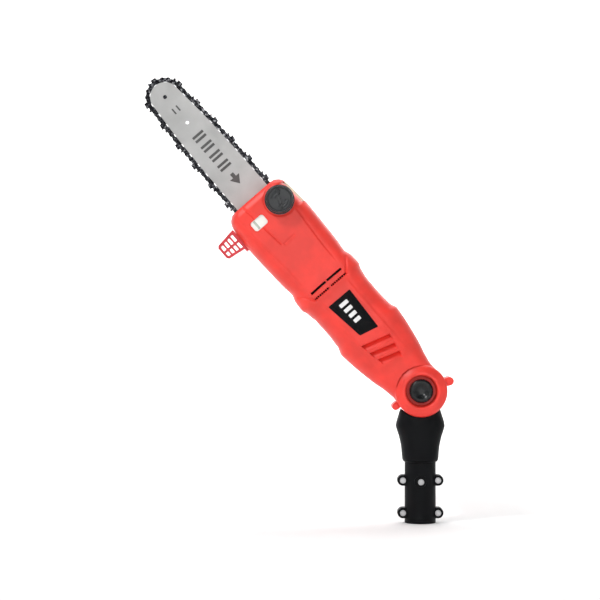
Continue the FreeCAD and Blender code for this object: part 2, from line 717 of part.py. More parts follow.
def chain_path_points():
    """Rivet centres, evenly spaced around the sprocket, the bar's sides and the nose."""
    radius = 18.4
    centre = size("spindle_station")
    lift = size("chain_lift")
    nose = size("nose_station")
    tip_radius = size("nose_radius") + lift + 0.5
    side = [Vector(width + lift, 0, station) for station, width in BAR_SIDE]
    lean = math.asin((side[0].x - radius) / math.dist((0, centre), (side[0].x, side[0].z)) * 0.9)
    leave = Vector(radius * math.cos(lean), 0, centre - radius * math.sin(lean))
    curve = Part.BSplineCurve()
    curve.interpolate([leave] + side + [Vector(tip_radius, 0, nose)])
    up = curve.toShape()
    down = up.mirror(Vector(0, 0, 0), X_AXIS)
    tip_ends = [Vector(side * tip_radius, 0, nose) for side in (1, -1)]
    tip = Part.Arc(tip_ends[0], Vector(0, 0, nose + tip_radius), tip_ends[1])
    tail = Part.Arc(Vector(-leave.x, 0, leave.z), Vector(0, 0, centre - radius), leave)
    wire = Part.Wire(Part.__sortEdges__([up, tip.toShape(), down, tail.toShape()]))
    count = 2 * int(size("drive_links"))
    points = wire.discretize(Number=count + 1)[:-1]
    print("chain pitch", round(wire.Length / count, 3), "length", round(wire.Length, 1))
    rises = [b.z - a.z for a, b in zip(points, points[1:]) if min(a.x, b.x) > radius]
    if sum(rises) < 0:
        points.reverse()
    return points


def link_frame(start, end):
    """Placement that lays a link's own X along the chain's travel and its Z outward."""
    along = (end - start).normalize()
    outward = Vector(along.z, 0, -along.x)
    middle = (start + end) * 0.5
    matrix = FreeCAD.Matrix(
        along.x, 0, outward.x, middle.x,
        0, -1, 0, size("bar_plane"),
        along.z, 0, outward.z, middle.z,
        0, 0, 0, 1,
    )
    return FreeCAD.Placement(matrix)


def drilled(prism):
    """A link with its two rivet holes."""
    radius = size("rivet_radius") + 0.05
    for x in (-size("link_pitch") / 2, size("link_pitch") / 2):
        prism = prism.cut(Part.makeCylinder(radius, 20, Vector(x, -10, 0), Y_AXIS))
    return prism


def drive_link_shape():
    outline = [(-7.4, 0.6), (-6, 2.5), (6, 2.5), (7.4, 0.6), (7, -4.2)]
    outline += [(3.4, -4.4), (2.2, -6.1), (-1.4, -6.1), (-4, -4.4), (-7, -4.2)]
    return drilled(polygon_prism(outline, -0.63, 1.26))


def strap_shape(side):
    """Tie strap on one side of the chain, its foot flat on the bar's rail."""
    outline = [(-8, -1.9), (-6.6, -3.1), (6.6, -3.1), (8, -1.9), (8, 1.2), (6.3, 3.3)]
    outline += [(3.6, 3.3), (1.3, 2.3), (-1.3, 2.3), (-3.6, 3.3), (-6.3, 3.3), (-8, 1.2)]
    start = 0.68 if side > 0 else -1.93
    return drilled(polygon_prism(outline, start, 1.25))


def cutter_shape(side):
    """Cutter: strap foot, depth gauge in front, side plate and overhanging top plate behind."""
    outline = [(-8, -1.9), (-6.6, -3.1), (6.6, -3.1), (8, -1.9), (8, 4.2), (7, 5.2), (5.4, 5), (4.6, 3)]
    outline += [(2.6, 2.4), (1.2, 3.4), (0.8, 6.4), (-7.4, 5.2), (-8, 1.2)]
    start = 0.68 if side > 0 else -1.93
    plate_start = 0.2 if side > 0 else -3.4
    body = polygon_prism(outline, start, 1.25)
    top = polygon_prism([(1.6, 5.9), (1.5, 6.7), (-7.6, 5.6), (-7.4, 4.6), (0.6, 5.6)], plate_start, 3.2)
    return drilled(body.fuse(top))


def placed(shape, frame):
    copy = shape.copy()
    copy.Placement = frame
    return copy


def make_chain():
    points = chain_path_points()
    count = len(points)
    straps = {1: strap_shape(1), -1: strap_shape(-1)}
    cutters = {1: cutter_shape(1), -1: cutter_shape(-1)}
    tang = drive_link_shape()
    drive_links, tie_straps, cutting_links, rivets = [], [], [], []
    for index in range(0, count, 2):
        drive_links.append(placed(tang, link_frame(points[index], points[index + 1])))
        frame = link_frame(points[index + 1], points[(index + 2) % count])
        pair = index // 2
        cutting_side = {0: 1, 2: -1}.get(pair % 4, 0)
        for side in (1, -1):
            if side == cutting_side:
                cutting_links.append(placed(cutters[side], frame))
            else:
                tie_straps.append(placed(straps[side], frame))
    plane = size("bar_plane")
    for point in points:
        shank = Part.makeCylinder(size("rivet_radius"), 4.2, Vector(point.x, plane - 2.1, point.z), Y_AXIS)
        heads = [
            Part.makeCylinder(2.2, 0.5, Vector(point.x, start, point.z), Y_AXIS)
            for start in (plane - 2.45, plane + 1.95)
        ]
        rivets.append(shank.multiFuse(heads))
    head_node("chain_drive_links", feature("drive_link_set", Part.makeCompound(drive_links)))
    head_node("chain_tie_straps", feature("tie_strap_set", Part.makeCompound(tie_straps)))
    head_node("chain_cutters", feature("cutter_set", Part.makeCompound(cutting_links)))
    head_node("chain_rivets", feature("chain_rivet_set", Part.makeCompound(rivets)))


def make_bar():
    plane = size("bar_plane")
    nose = size("nose_station")
    head_node("guide_bar", feature("bar_shape", bar_shape()))
    wheel = polygon_prism(star_points(19.6, 16.8, 9), plane - 0.55, 1.1)
    wheel = wheel.cut(Part.makeCylinder(4.1, 20, Vector(0, plane - 10, 0), Y_AXIS))
    wheel.translate(Vector(0, 0, nose))
    head_node("nose_sprocket", feature("nose_wheel", wheel))
    rivet = rod("nose_rivet", 3, 4.6, (0, "bar_plane - 2.3", "nose_station"), "y")
    race = rod("nose_race", 4, 1.3, (0, "bar_plane - 0.65", "nose_station"), "y")
    head_node("bar_nose_rivet", fuse("nose_rivet_body", [rivet, race]))
    mount = box("mount_plate_block", (44, 2.5, 62), (-22, "deck_top", 301))
    cuts = [
        rod("mount_plate_stud_hole", "stud_radius", 10, (0, 18, "stud_station"), "y"),
        box("mount_plate_slot", (5, 10, 18), (-21.5, 18, 319)),
    ]
    head_node("bar_mount_plate", cut("mount_plate", mount, cuts))
    stud = rod("stud_rod", "stud_radius", 31.5, (0, 12, "stud_station"), "y")
    stud_foot = rod("stud_foot", 9, 4, (0, 12, "stud_station"), "y")
    head_node("bar_stud", fuse("stud_body", [stud, stud_foot]))
    block = box("tension_nut", (9, 8, 7), (-23.5, 9.5, 327.5))
    pin = rod("tension_pin", 2.2, 14, (-19, 14, 331), "y")
    pin_bore = rod("tension_thread", 2.1, 20, (-19, 13.4, 320))
    head_node("tension_block", cut("tension_body", fuse("tension_whole", [block, pin]), [pin_bore]))
    screw = rod("tension_rod", 2, 58, (-19, 13.4, 318))
    screw_head = rod("tension_head", 3.3, 5, (-19, 13.4, 373))
    head_node("tension_screw", fuse("tension_screw_body", [screw, screw_head]))
    head_node("chain_catcher", rod("catcher_post", 3.5, 12, (-45.6, "deck_top", 340), "y"))


# ---------------------------------------------------------------- tank, cap and knob


def make_tank():
    length = size("tank_end") - size("tank_start")
    body = half_body(3.2, size("tank_start"), size("tank_end"))
    mirrored_body = mirrored(body)
    deck = Part.makeBox(200, 7, length + 20, Vector(-100, 0, size("tank_start") - 10))
    whole = mirrored_body.fuse(body.common(deck)).removeSplitter()
    room = mirrored(half_body(5.4, size("tank_start") + 2.2, size("tank_end") - 2.2))
    tank = whole.cut(room)
    side, station = size("cap_side"), size("cap_station")
    neck = Part.makeCylinder(16.8, 7, Vector(side, -45.9, station), Y_AXIS)
    window = Part.makeBox(23.3, 3.6, 15.5, Vector(-29.8, -45.4, 336.6))
    strip = Part.makeBox(8, 32, 40, Vector(46, -16, 327.5))
    strip = strip.common(mirrored(half_body(0.2, 320, 376)).fuse(half_body(0.2, 320, 376)))
    mouth = Part.makeCylinder(14.6, 30, Vector(side, -60, station), Y_AXIS)
    tank = tank.multiFuse([neck, window, strip]).cut(mouth)
    head_node("oil_tank", feature("tank_shape", tank))

    top = "-cap_top"
    cap_top = rod("cap_disc", "cap_radius - 2", 15, ("cap_side", top, "cap_station"), "y")
    cap_rim = rod("cap_rim", "cap_radius", 3.7, ("cap_side", "15 - cap_top", "cap_station"), "y")
    plug = rod("cap_plug", 14.2, 12, ("cap_side", "18 - cap_top", "cap_station"), "y")
    flutes = []
    cap_centre = (size("cap_side"), size("cap_station"))
    for index, (x, z) in enumerate(circle_points(size("cap_radius") - 1.2, 20, cap_centre)):
        flutes.append(rod("cap_flute_%d" % index, 1.5, 16, (x, "-cap_top - 1", z), "y"))
    head_node("oil_cap", cut("cap_body", fuse("cap_whole", [cap_top, cap_rim, plug]), flutes))


def make_knob():
    """Knob that clamps the cover and the bar on the stud."""
    face = rod("knob_disc", 18.5, 5, (0, 42.2, "stud_station"), "y")
    grip = box("knob_grip", (7, 5, 33), (-3.5, 45.5, "stud_station - 16.5"))
    sleeve = rod("knob_sleeve", 4.3, 6, (0, 37, "stud_station"), "y")
    bore = rod("knob_bore", "stud_radius + 0.1", 9, (0, 36, "stud_station"), "y")
    head_node("cover_knob", cut("knob_body", fuse("knob_whole", [face, grip, sleeve]), [bore]))


# ---------------------------------------------------------------- hub lock


def make_lock():
    dome = cone("button_dome", 12.5, "button_radius", 5, (0, -36, 0), "y")
    drum = rod("button_drum", "button_radius", 7, (0, -31, 0), "y")
    stem = rod("button_stem", "stem_radius", 24.6, (0, -24.2, 0), "y")
    dimple = rod("button_dimple", 4, 2, (0, -37, 0), "y")
    head_node("lock_button", cut("button_body", fuse("button_whole", [dome, drum, stem]), [dimple]))
    cog = polygon_prism(star_points(14.5, 12.8, 24), 0.6, 3.6)
    cog = cog.cut(Part.makeCylinder(size("stem_radius"), 10, Vector(0, -2, 0), Y_AXIS))
    stub = Part.makeCylinder(size("stem_radius"), 3.8, Vector(0, 0.4, 0), Y_AXIS)
    head_node("lock_cog", feature("cog_shape", cog.fuse(stub)))
    near = ring("near_sleeve", "sleeve_outer", "sleeve_inner", 18.1, (0, -18.5, 0), "y")
    far = ring("far_sleeve", "sleeve_outer", "sleeve_inner", 9.6, (0, 10.4, 0), "y")
    head_node("pivot_sleeves", group("sleeve_pair", [near, far]))
    plug = rod("pivot_plug", "sleeve_outer", 9, (0, 20, 0), "y")
    cap = rod("pivot_head", 12.7, 4, (0, 29, 0), "y")
    socket = box("pivot_drive", (6, 4, 6), (-3, 31, -3))
    head_node("pivot_screw", cut("pivot_screw_body", fuse("pivot_screw_whole", [plug, cap]), [socket]))
    helix = Part.makeHelix(2.2, 9.6, 6.2)
    wire = Part.Wire(helix.Edges)
    profile = Part.Wire(Part.makeCircle(0.5, Vector(6.2, 0, 0), Vector(0, 6.2 * 2 * math.pi, 2.2)))
    coil = wire.makePipeShell([profile], True, True)
    coil.rotate(Vector(0, 0, 0), X_AXIS, -90)
    coil.translate(Vector(0, 9.9, 0))
    head_node("lock_spring", feature("spring_shape", coil))


# ---------------------------------------------------------------- neck and socket

NECK_SCREWS = [(-25, 134.5), (25, 134.5), (-21.5, 120), (21.5, 120)]
NECK_STATIONS = [(92, 26.5, 26.5, 18), (112, 28.3, 27.5, 17), (128, 31.6, 29, 16), (141, 36, 30, 15)]
NECK_STATIONS += [(147, 36.4, 30, 15), (158, 33.6, 30, 14), (168, 30.4, 29, 13), (173, 27, 27, 12)]


def neck_half_shape():
    """Far half of the neck: a waisted skin, a saddle for the hub and half of the tongue."""
    wires = [half_section(*row) for row in NECK_STATIONS]
    body = Part.makeLoft(wires, True, True)
    hub = Vector(0, -60, size("hub_height"))
    saddle = Part.makeCylinder(size("saddle_radius"), 120, hub, Y_AXIS)
    spigot = Part.makeCylinder(size("spigot_radius"), 21, Vector(0, 0, 91.6))
    lead_room = Part.makeCylinder(12, 40, Vector(0, 0, 105))
    body = body.cut(saddle).cut(spigot).cut(lead_room)
    thickness = size("tongue_half")
    disc = Part.makeCylinder(size("tongue_radius"), thickness, Vector(0, 0, size("hub_height")), Y_AXIS)
    stem = Part.makeBox(40, thickness, 26, Vector(-20, 0, 146))
    return body.multiFuse([disc, stem])


def make_neck():
    half = neck_half_shape()
    screws, screw_bores = [], []
    for index, (x, z) in enumerate(NECK_SCREWS):
        shank = rod("neck_screw_shank_%d" % index, 1.7, 28, (x, -8, z), "y")
        head = rod("neck_screw_head_%d" % index, 3.6, 2.4, (x, 20, z), "y")
        screws.append(fuse("neck_screw_%d" % index, [shank, head]))
        screw_bores.append(Part.makeCylinder(1.7, 29, Vector(x, -8.5, z), Y_AXIS))
        screw_bores.append(Part.makeCylinder(4, 20, Vector(x, 20, z), Y_AXIS))
    centre = Vector(0, 0, size("hub_height"))
    clearance = size("sleeve_outer") + size("tilt_fit")
    bore = Part.makeCylinder(clearance, 40, Vector(0, -20, centre.z), Y_AXIS)
    near = half.mirror(Vector(0, 0, 0), Y_AXIS).cut([bore] + screw_bores)
    node("neck_front_half", feature("neck_front", near))
    cog_room = Part.makeCylinder(15.2, 10.2, centre, Y_AXIS)
    ring_room = Part.makeCylinder(20, 4.6, centre, Y_AXIS)
    far = half.cut([bore, cog_room, ring_room] + screw_bores)
    node("neck_rear_half", feature("neck_rear", far))
    teeth = polygon_prism(star_points(17.2, 15.2, 24), 0, 4.6)
    lock_ring = Part.makeCylinder(20, 4.6, Vector(0, 0, 0), Y_AXIS).cut(teeth)
    lock_ring.translate(centre)
    node("neck_lock_ring", feature("lock_ring_shape", lock_ring))
    node("neck_screws", group("neck_screw_set", screws))
    node("power_connector", connector())
    node("neck_lead", rod("lead_body", 3, 34, (0, 0, 108)))


def connector():
    """Round plug block in the spigot that meets the pole's own plug."""
    block = rod("plug_block", 15.4, 18, (0, 0, 90))
    slots = [box("plug_slot_%d" % index, (2, 7, 14), (x, -3.5, 88)) for index, x in enumerate((-7, 5))]
    return cut("plug_body", block, slots)


def make_socket():
    wall = rod("socket_tube", "socket_radius", "socket_length", (0, 0, 0))
    spigot = rod("socket_spigot", "spigot_radius", "spigot_top - 80", (0, 0, 80))
    ears = []
    for index, (x, z) in enumerate(ear_places()):
        ears.append(rod("socket_ear_%d" % index, "ear_radius", 18, (x, -9, z), "y"))
        bridge_start = min(x, 0)
        ears.append(box("socket_bridge_%d" % index, (26.2, 18, 16), (bridge_start, -9, z - 8)))
    whole = fuse("socket_whole", [wall, spigot] + ears)
    cuts = [rod("socket_bore", "pole_bore", 88, (0, 0, 0)), rod("socket_lead_bore", 15.4, 60, (0, 0, 60))]
    for index, (x, z) in enumerate(ear_places()):
        cuts.append(rod("socket_screw_bore_%d" % index, 2, 30, (x, -15, z), "y"))
    hollow = cut("socket_hollow", whole, cuts)
    near_zone = box("near_zone", (80, 40, 130), (-40, -40, -5))
    far_zone = box("far_zone", (80, 40, 130), (-40, 0, -5))
    screw_bore = rod("centre_screw_bore", 2, 30, (0, -30, "high_ear - 1.5"), "y")
    screw_seat = rod("centre_screw_seat", 8, 6, (0, -27.7, "high_ear - 1.5"), "y")
    boss = rod("centre_boss", 10, 8, (0, -23.2, "high_ear - 1.5"), "y")
    boss_trim = cut("centre_boss_cut", boss, [rod("boss_bore", "pole_bore", 88, (0, 0, 0))])
    near_whole = fuse("socket_near_whole", [common("socket_near", [hollow, near_zone]), boss_trim])
    near = cut("socket_near_cut", near_whole, [screw_bore, screw_seat])
    node("socket_half_front", near)
    node("socket_half_rear", common("socket_far", [hollow, far_zone]))
    screws, nuts = [], []
    for index, (x, z) in enumerate(ear_places()):
        shank = rod("socket_screw_shank_%d" % index, 2, 18, (x, -9, z), "y")
        head = rod("socket_screw_head_%d" % index, 4.4, 2.6, (x, -11.6, z), "y")
        screws.append(fuse("socket_screw_%d" % index, [shank, head]))
        nuts.append(ring("socket_nut_%d" % index, 4, 2, 3, (x, 9, z), "y"))
    node("socket_screws", group("socket_screw_set", screws))
    node("socket_nuts", group("socket_nut_set", nuts))
    lock = rod("pole_lock_shank", 2, 5, (0, -23, "high_ear - 1.5"), "y")
    lock_head = rod("pole_lock_head", 4.4, 2.4, (0, -24.1, "high_ear - 1.5"), "y")
    node("pole_lock_screw", fuse("pole_lock_body", [lock, lock_head]))


def ear_places():
    offset = size("ear_offset")
    return [(x, z) for z in (size("low_ear"), size("high_ear")) for x in (-offset, offset)]


# ---------------------------------------------------------------- finish


def check_and_export():
    """Stop on any failed object, then write one file per sub-part."""
    failed = [obj.Name for obj in doc.Objects if "Invalid" in obj.State or "Error" in obj.State]
    if failed:
        raise SystemExit("failed objects: %s" % failed)
    for obj in nodes:
        if obj.Shape.isNull() or not obj.Shape.isValid():
            raise SystemExit("bad shape: %s" % obj.Label)
    os.makedirs("parts", exist_ok=True)
    for obj in nodes:
        obj.Shape.exportStep("parts/%s.step" % obj.Label)
        print(obj.Label, len(obj.Shape.Solids), round(obj.Shape.Volume / 1000, 2))


fill_sheet()
make_shells()
make_casing_trim()
make_branch_stop()
make_motor()
make_drive()
make_bar()
make_chain()
make_tank()
make_knob()
make_lock()
make_neck()
make_socket()
doc.recompute()
check_and_export()
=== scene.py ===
# Looks of the pole saw head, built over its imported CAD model.
#
# Head pieces are drawn in the head's own coordinates, in millimetres: s along the bar from the tilt
# axis, t across it toward the tank side, y toward the bar side. place() lays them in the row's frame.
import json
import math

import bmesh
import bpy
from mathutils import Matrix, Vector


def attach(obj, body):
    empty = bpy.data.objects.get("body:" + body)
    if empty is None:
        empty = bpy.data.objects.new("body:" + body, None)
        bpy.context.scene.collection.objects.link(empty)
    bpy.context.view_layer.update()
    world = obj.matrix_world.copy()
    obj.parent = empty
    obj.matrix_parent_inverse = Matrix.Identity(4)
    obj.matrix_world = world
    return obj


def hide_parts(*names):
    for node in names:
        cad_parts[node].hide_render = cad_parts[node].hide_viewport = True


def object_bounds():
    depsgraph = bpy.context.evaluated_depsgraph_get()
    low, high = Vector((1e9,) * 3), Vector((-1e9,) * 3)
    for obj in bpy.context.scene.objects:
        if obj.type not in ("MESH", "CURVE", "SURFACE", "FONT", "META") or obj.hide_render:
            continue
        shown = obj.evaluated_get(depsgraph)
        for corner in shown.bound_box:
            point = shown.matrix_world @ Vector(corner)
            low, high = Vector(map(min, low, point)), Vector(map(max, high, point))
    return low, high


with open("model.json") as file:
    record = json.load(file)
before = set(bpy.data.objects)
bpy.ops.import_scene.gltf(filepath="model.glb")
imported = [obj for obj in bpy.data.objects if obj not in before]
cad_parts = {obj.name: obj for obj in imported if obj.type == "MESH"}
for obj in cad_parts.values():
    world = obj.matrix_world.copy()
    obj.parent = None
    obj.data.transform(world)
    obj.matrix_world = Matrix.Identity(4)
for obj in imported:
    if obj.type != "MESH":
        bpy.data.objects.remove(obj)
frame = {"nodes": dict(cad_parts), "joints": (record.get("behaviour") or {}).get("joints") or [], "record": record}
cad_low, cad_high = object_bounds()

JOINTS = {joint["name"]: joint for joint in frame["joints"]}
HUB = Vector(JOINTS["head_tilt"]["pos_m"])
ALONG = Vector(JOINTS["bar_slide"]["axis"]).normalized()
ACROSS = Vector((ALONG.z, 0.0, -ALONG.x))
DEPTH = Vector((0.0, 1.0, 0.0))
MM = 0.001

# Places (s, t) on the head, then half the tongue's thickness and the height of the neck's foot, in mm.
TILT_AXIS = (0, 0)
CAP_CENTRE = (350.5, 27)
TONGUE_HALF = 14.0
NECK_FOOT = 91.6

# Camera, in metres.
CAMERA_AIM = (-0.1795, 0.0, 0.3322)
CAMERA_DISTANCE = 3.0
PICTURE_WIDTH = 0.8964


# ---------------------------------------------------------------- small tools


def place(s, t, y):
    """Head coordinates in millimetres to the row's frame in metres."""
    return HUB + (ALONG * s + ACROSS * t + DEPTH * y) * MM


def head_coordinates(point):
    """The row's frame in metres back to head coordinates in millimetres."""
    gap = point - HUB
    return gap.dot(ALONG) / MM, gap.dot(ACROSS) / MM, gap.dot(DEPTH) / MM


def node_head_box(node):
    """Lowest and highest head coordinates of a CAD node at rest."""
    spots = [head_coordinates(v.co) for v in frame["nodes"][node].data.vertices]
    return [min(p[i] for p in spots) for i in range(3)], [max(p[i] for p in spots) for i in range(3)]


def smooth_step(low, high, value):
    """0 up to low, 1 from high on, and an even S between them."""
    share = min(max((value - low) / (high - low), 0.0), 1.0)
    return share * share * (3 - 2 * share)


def window(low, high, soft, value):
    """1 between low and high, falling to 0 over soft on each side."""
    return smooth_step(low - soft, low, value) * (1 - smooth_step(high, high + soft, value))


def curve_through(rows):
    """A smooth monotone curve through (station, value) rows, as a function."""
    xs = [row[0] for row in rows]
    ys = [row[1] for row in rows]
    slopes = [(b - a) / (d - c) for a, b, c, d in zip(ys, ys[1:], xs, xs[1:])]
    tangents = [slopes[0]]
    for left, right in zip(slopes, slopes[1:]):
        tangents.append(0.0 if left * right <= 0 else 2 * left * right / (left + right))
    tangents.append(slopes[-1])

    def value(x):
        x = min(max(x, xs[0]), xs[-1])
        i = max(k for k in range(len(xs) - 1) if xs[k] <= x)
        width = xs[i + 1] - xs[i]
        u = (x - xs[i]) / width
        start = (1 + 2 * u) * (1 - u) ** 2 * ys[i] + u * (1 - u) ** 2 * width * tangents[i]
        return start + u * u * (3 - 2 * u) * ys[i + 1] + u * u * (u - 1) * width * tangents[i + 1]

    return value


def new_piece(name, verts, faces, body, materials, face_slots=None, angle=40):
    """A smooth-shaded mesh that rides on a body; edges sharper than angle stay sharp."""
    mesh = bpy.data.meshes.new(name)
    mesh.from_pydata([tuple(v) for v in verts], [], faces)
    mesh.validate()
    piece = bpy.data.objects.new(name, mesh)
    bpy.context.scene.collection.objects.link(piece)
    for material in materials:
        mesh.materials.append(material)
    if face_slots:
        for face, index in zip(mesh.polygons, face_slots):
            face.material_index = index
    smooth(piece, angle)
    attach(piece, body)
    return piece


def smooth(piece, angle=40):
    """Smooth shading with edges kept where the surface turns sharply."""
    mesh = piece.data
    work = bmesh.new()
    work.from_mesh(mesh)
    bmesh.ops.recalc_face_normals(work, faces=work.faces)
    for face in work.faces:
        face.smooth = True
    for edge in work.edges:
        if len(edge.link_faces) == 2 and edge.calc_face_angle(0) > math.radians(angle):
            edge.smooth = False
    work.to_mesh(mesh)
    work.free()


def quads(rows, count, closed=False):
    """Faces between neighbouring rows of count points; closed also joins the last row to the first."""
    faces = []
    for i in range(rows if closed else rows - 1):
        here, ahead = i * count, (i + 1) % rows * count
        faces += [(here + j, here + j + 1, ahead + j + 1, ahead + j) for j in range(count - 1)]
    return faces


def ring_quads(rows, count, first=0):
    """Faces between neighbouring closed rings of count points, from the point first on."""
    faces = []
    for i in range(rows - 1):
        base = first + i * count
        for k in range(count):
            ahead = (k + 1) % count
            faces.append((base + k, base + ahead, base + count + ahead, base + count + k))
    return faces


def turned(angle, radius):
    """The (a, b) of a point at an angle and radius about the origin."""
    return radius * math.cos(angle), radius * math.sin(angle)


def lathe(profile, centre, steps=96):
    """Points and faces of a (radius, y) profile turned about an axis along Y, in head millimetres."""
    verts = []
    for k in range(steps):
        for radius, y in profile:
            s, t = turned(2 * math.pi * k / steps, radius)
            verts.append(place(centre[0] + s, centre[1] + t, y))
    return verts, quads(steps, len(profile), closed=True)


def append_mesh(verts, faces, more_verts, more_faces):
    """Add one more closed mesh to the lists of a piece."""
    base = len(verts)
    verts.extend(more_verts)
    faces.extend(tuple(index + base for index in face) for face in more_faces)


def rounded(corners, radius, steps=5):
    """An open (a, b) outline with its inner corners rounded."""
    out = [corners[0]]
    for before, corner, after in zip(corners, corners[1:], corners[2:]):
        back = Vector(before) - Vector(corner)
        ahead = Vector(after) - Vector(corner)
        reach = min(radius, back.length * 0.45, ahead.length * 0.45)
        start = Vector(corner) + back.normalized() * reach
        end = Vector(corner) + ahead.normalized() * reach
        for k in range(steps + 1):
            u = k / steps
            spot = start * (1 - u) ** 2 + Vector(corner) * 2 * u * (1 - u) + end * u * u
            out.append((spot.x, spot.y))
    out.append(corners[-1])
    return out


# ---------------------------------------------------------------- materials


def material(name, colour, roughness, metallic=0.0):
    """A Principled material, with its nodes, its links and its shader."""
    made = bpy.data.materials.new(name)
    made.use_nodes = True
    nodes = made.node_tree.nodes
    shader = nodes["Principled BSDF"]
    shader.inputs["Base Color"].default_value = (*colour, 1)
    shader.inputs["Roughness"].default_value = roughness
    shader.inputs["Metallic"].default_value = metallic
    return made, nodes, made.node_tree.links, shader


def noise(nodes, links, scale, detail=3.0, stretch=(1, 1, 1)):
    """Object-space noise; a stretch makes it run in one direction."""
    spot = nodes.new("ShaderNodeTexCoord")
    mapping = nodes.new("ShaderNodeMapping")
    mapping.inputs["Scale"].default_value = stretch
    texture = nodes.new("ShaderNodeTexNoise")
    texture.inputs["Scale"].default_value = scale
    texture.inputs["Detail"].default_value = detail
    links.new(spot.outputs["Object"], mapping.inputs["Vector"])
    links.new(mapping.outputs["Vector"], texture.inputs["Vector"])
    return texture


def ramp(nodes, links, source, stops):
    """Colour ramp on a 0 to 1 value; stops are (place, colour)."""
    made = nodes.new("ShaderNodeValToRGB")
    elements = made.color_ramp.elements
    while len(elements) < len(stops):
        elements.new(0.5)
    for element, (where, colour) in zip(elements, stops):
        element.position = where
        element.color = (*colour, 1)
    links.new(source, made.inputs["Fac"])
    return made


def vary_roughness(nodes, links, shader, source, low, high):
    """Roughness that runs from low where the source is 0 to high where it is 1."""
    reach = nodes.new("ShaderNodeMapRange")
    reach.inputs["To Min"].default_value = low
    reach.inputs["To Max"].default_value = high
    links.new(source, reach.inputs["Value"])
    links.new(reach.outputs["Result"], shader.inputs["Roughness"])


def bump(nodes, links, shader, source, strength, distance):
    """Fine relief from a texture; distance is in metres."""
    made = nodes.new("ShaderNodeBump")
    made.inputs["Strength"].default_value = strength
    made.inputs["Distance"].default_value = distance
    links.new(source, made.inputs["Height"])
    links.new(made.outputs["Normal"], shader.inputs["Normal"])


def moulded(name, colour, roughness, grain=1400, depth=0.00006, spread=0.12, gloss=0.4):
    """Moulded plastic: faint cloudy colour, fine spark-eroded grain, uneven gloss."""
    made, nodes, links, shader = material(name, colour, roughness)
    shader.inputs["Specular IOR Level"].default_value = gloss
    cloud = noise(nodes, links, 28, 4)
    low = tuple(c * (1 - spread) for c in colour)
    high = tuple(min(c * (1 + spread * 0.6), 1) for c in colour)
    tint = ramp(nodes, links, cloud.outputs["Fac"], [(0.35, low), (0.65, high)])
    links.new(tint.outputs["Color"], shader.inputs["Base Color"])
    fine = noise(nodes, links, grain, 2)
    vary_roughness(nodes, links, shader, fine.outputs["Fac"], roughness - 0.06, roughness + 0.1)
    bump(nodes, links, shader, fine.outputs["Fac"], 0.35, depth)
    return made


def casing_red():
    """The casing's red plastic, with a faint sheen over it."""
    made = moulded("casing_red", (0.88, 0.042, 0.028), 0.42)
    shader = made.node_tree.nodes["Principled BSDF"]
    shader.inputs["Coat Weight"].default_value = 0.12
    shader.inputs["Coat Roughness"].default_value = 0.35
    return made


def stop_red():
    """Branch stop: a deeper red that lets a little light through its thin ribs."""
    made = moulded("stop_red", (0.62, 0.022, 0.035), 0.32)
    shader = made.node_tree.nodes["Principled BSDF"]
    shader.inputs["Subsurface Weight"].default_value = 0.2
    shader.inputs["Subsurface Radius"].default_value = (0.004, 0.001, 0.001)
    return made


def tank_white():
    """Natural polyethylene: milky, faintly yellow."""
    made = moulded("tank_white", (0.86, 0.83, 0.66), 0.38, spread=0.05)
    shader = made.node_tree.nodes["Principled BSDF"]
    shader.inputs["Subsurface Weight"].default_value = 0.6
    shader.inputs["Subsurface Radius"].default_value = (0.008, 0.007, 0.004)
    return made


def ground_steel(name, colour, roughness, stretch, scale=900):
    """Ground metal: long fine scratches one way, cloudy tone, uneven roughness."""
    made, nodes, links, shader = material(name, colour, roughness, 1.0)
    lines = noise(nodes, links, scale, 3, stretch)
    cloud = noise(nodes, links, 22, 4)
    low = tuple(c * 0.86 for c in colour)
    high = tuple(min(c * 1.08, 1) for c in colour)
    tint = ramp(nodes, links, cloud.outputs["Fac"], [(0.3, low), (0.7, high)])
    links.new(tint.outputs["Color"], shader.inputs["Base Color"])
    vary_roughness(nodes, links, shader, lines.outputs["Fac"], roughness - 0.08, roughness + 0.14)
    bump(nodes, links, shader, lines.outputs["Fac"], 0.25, 0.00004)
    return made


def chain_steel():
    """Oiled, dark chain steel with bright worn spots."""
    made, nodes, links, shader = material("chain_steel", (0.1, 0.1, 0.11), 0.3, 1.0)
    patches = noise(nodes, links, 260, 4)
    tint = ramp(
        nodes, links, patches.outputs["Fac"],
        [(0.40, (0.01, 0.01, 0.012)), (0.58, (0.05, 0.05, 0.056)), (0.74, (0.5, 0.5, 0.51))],
    )
    links.new(tint.outputs["Color"], shader.inputs["Base Color"])
    vary_roughness(nodes, links, shader, patches.outputs["Fac"], 0.5, 0.18)
    bump(nodes, links, shader, patches.outputs["Fac"], 0.3, 0.0002)
    return made


def wound_copper():
    """Enamelled copper turns seen as fine bands."""
    made, nodes, links, shader = material("wound_copper", (0.5, 0.2, 0.07), 0.3, 1.0)
    spot = nodes.new("ShaderNodeTexCoord")
    bands = nodes.new("ShaderNodeTexWave")
    bands.inputs["Scale"].default_value = 260
    bands.inputs["Distortion"].default_value = 1.5
    links.new(spot.outputs["Object"], bands.inputs["Vector"])
    tint = ramp(nodes, links, bands.outputs["Fac"], [(0.2, (0.16, 0.05, 0.02)), (0.8, (0.62, 0.27, 0.1))])
    links.new(tint.outputs["Color"], shader.inputs["Base Color"])
    bump(nodes, links, shader, bands.outputs["Fac"], 0.6, 0.0003)
    return made


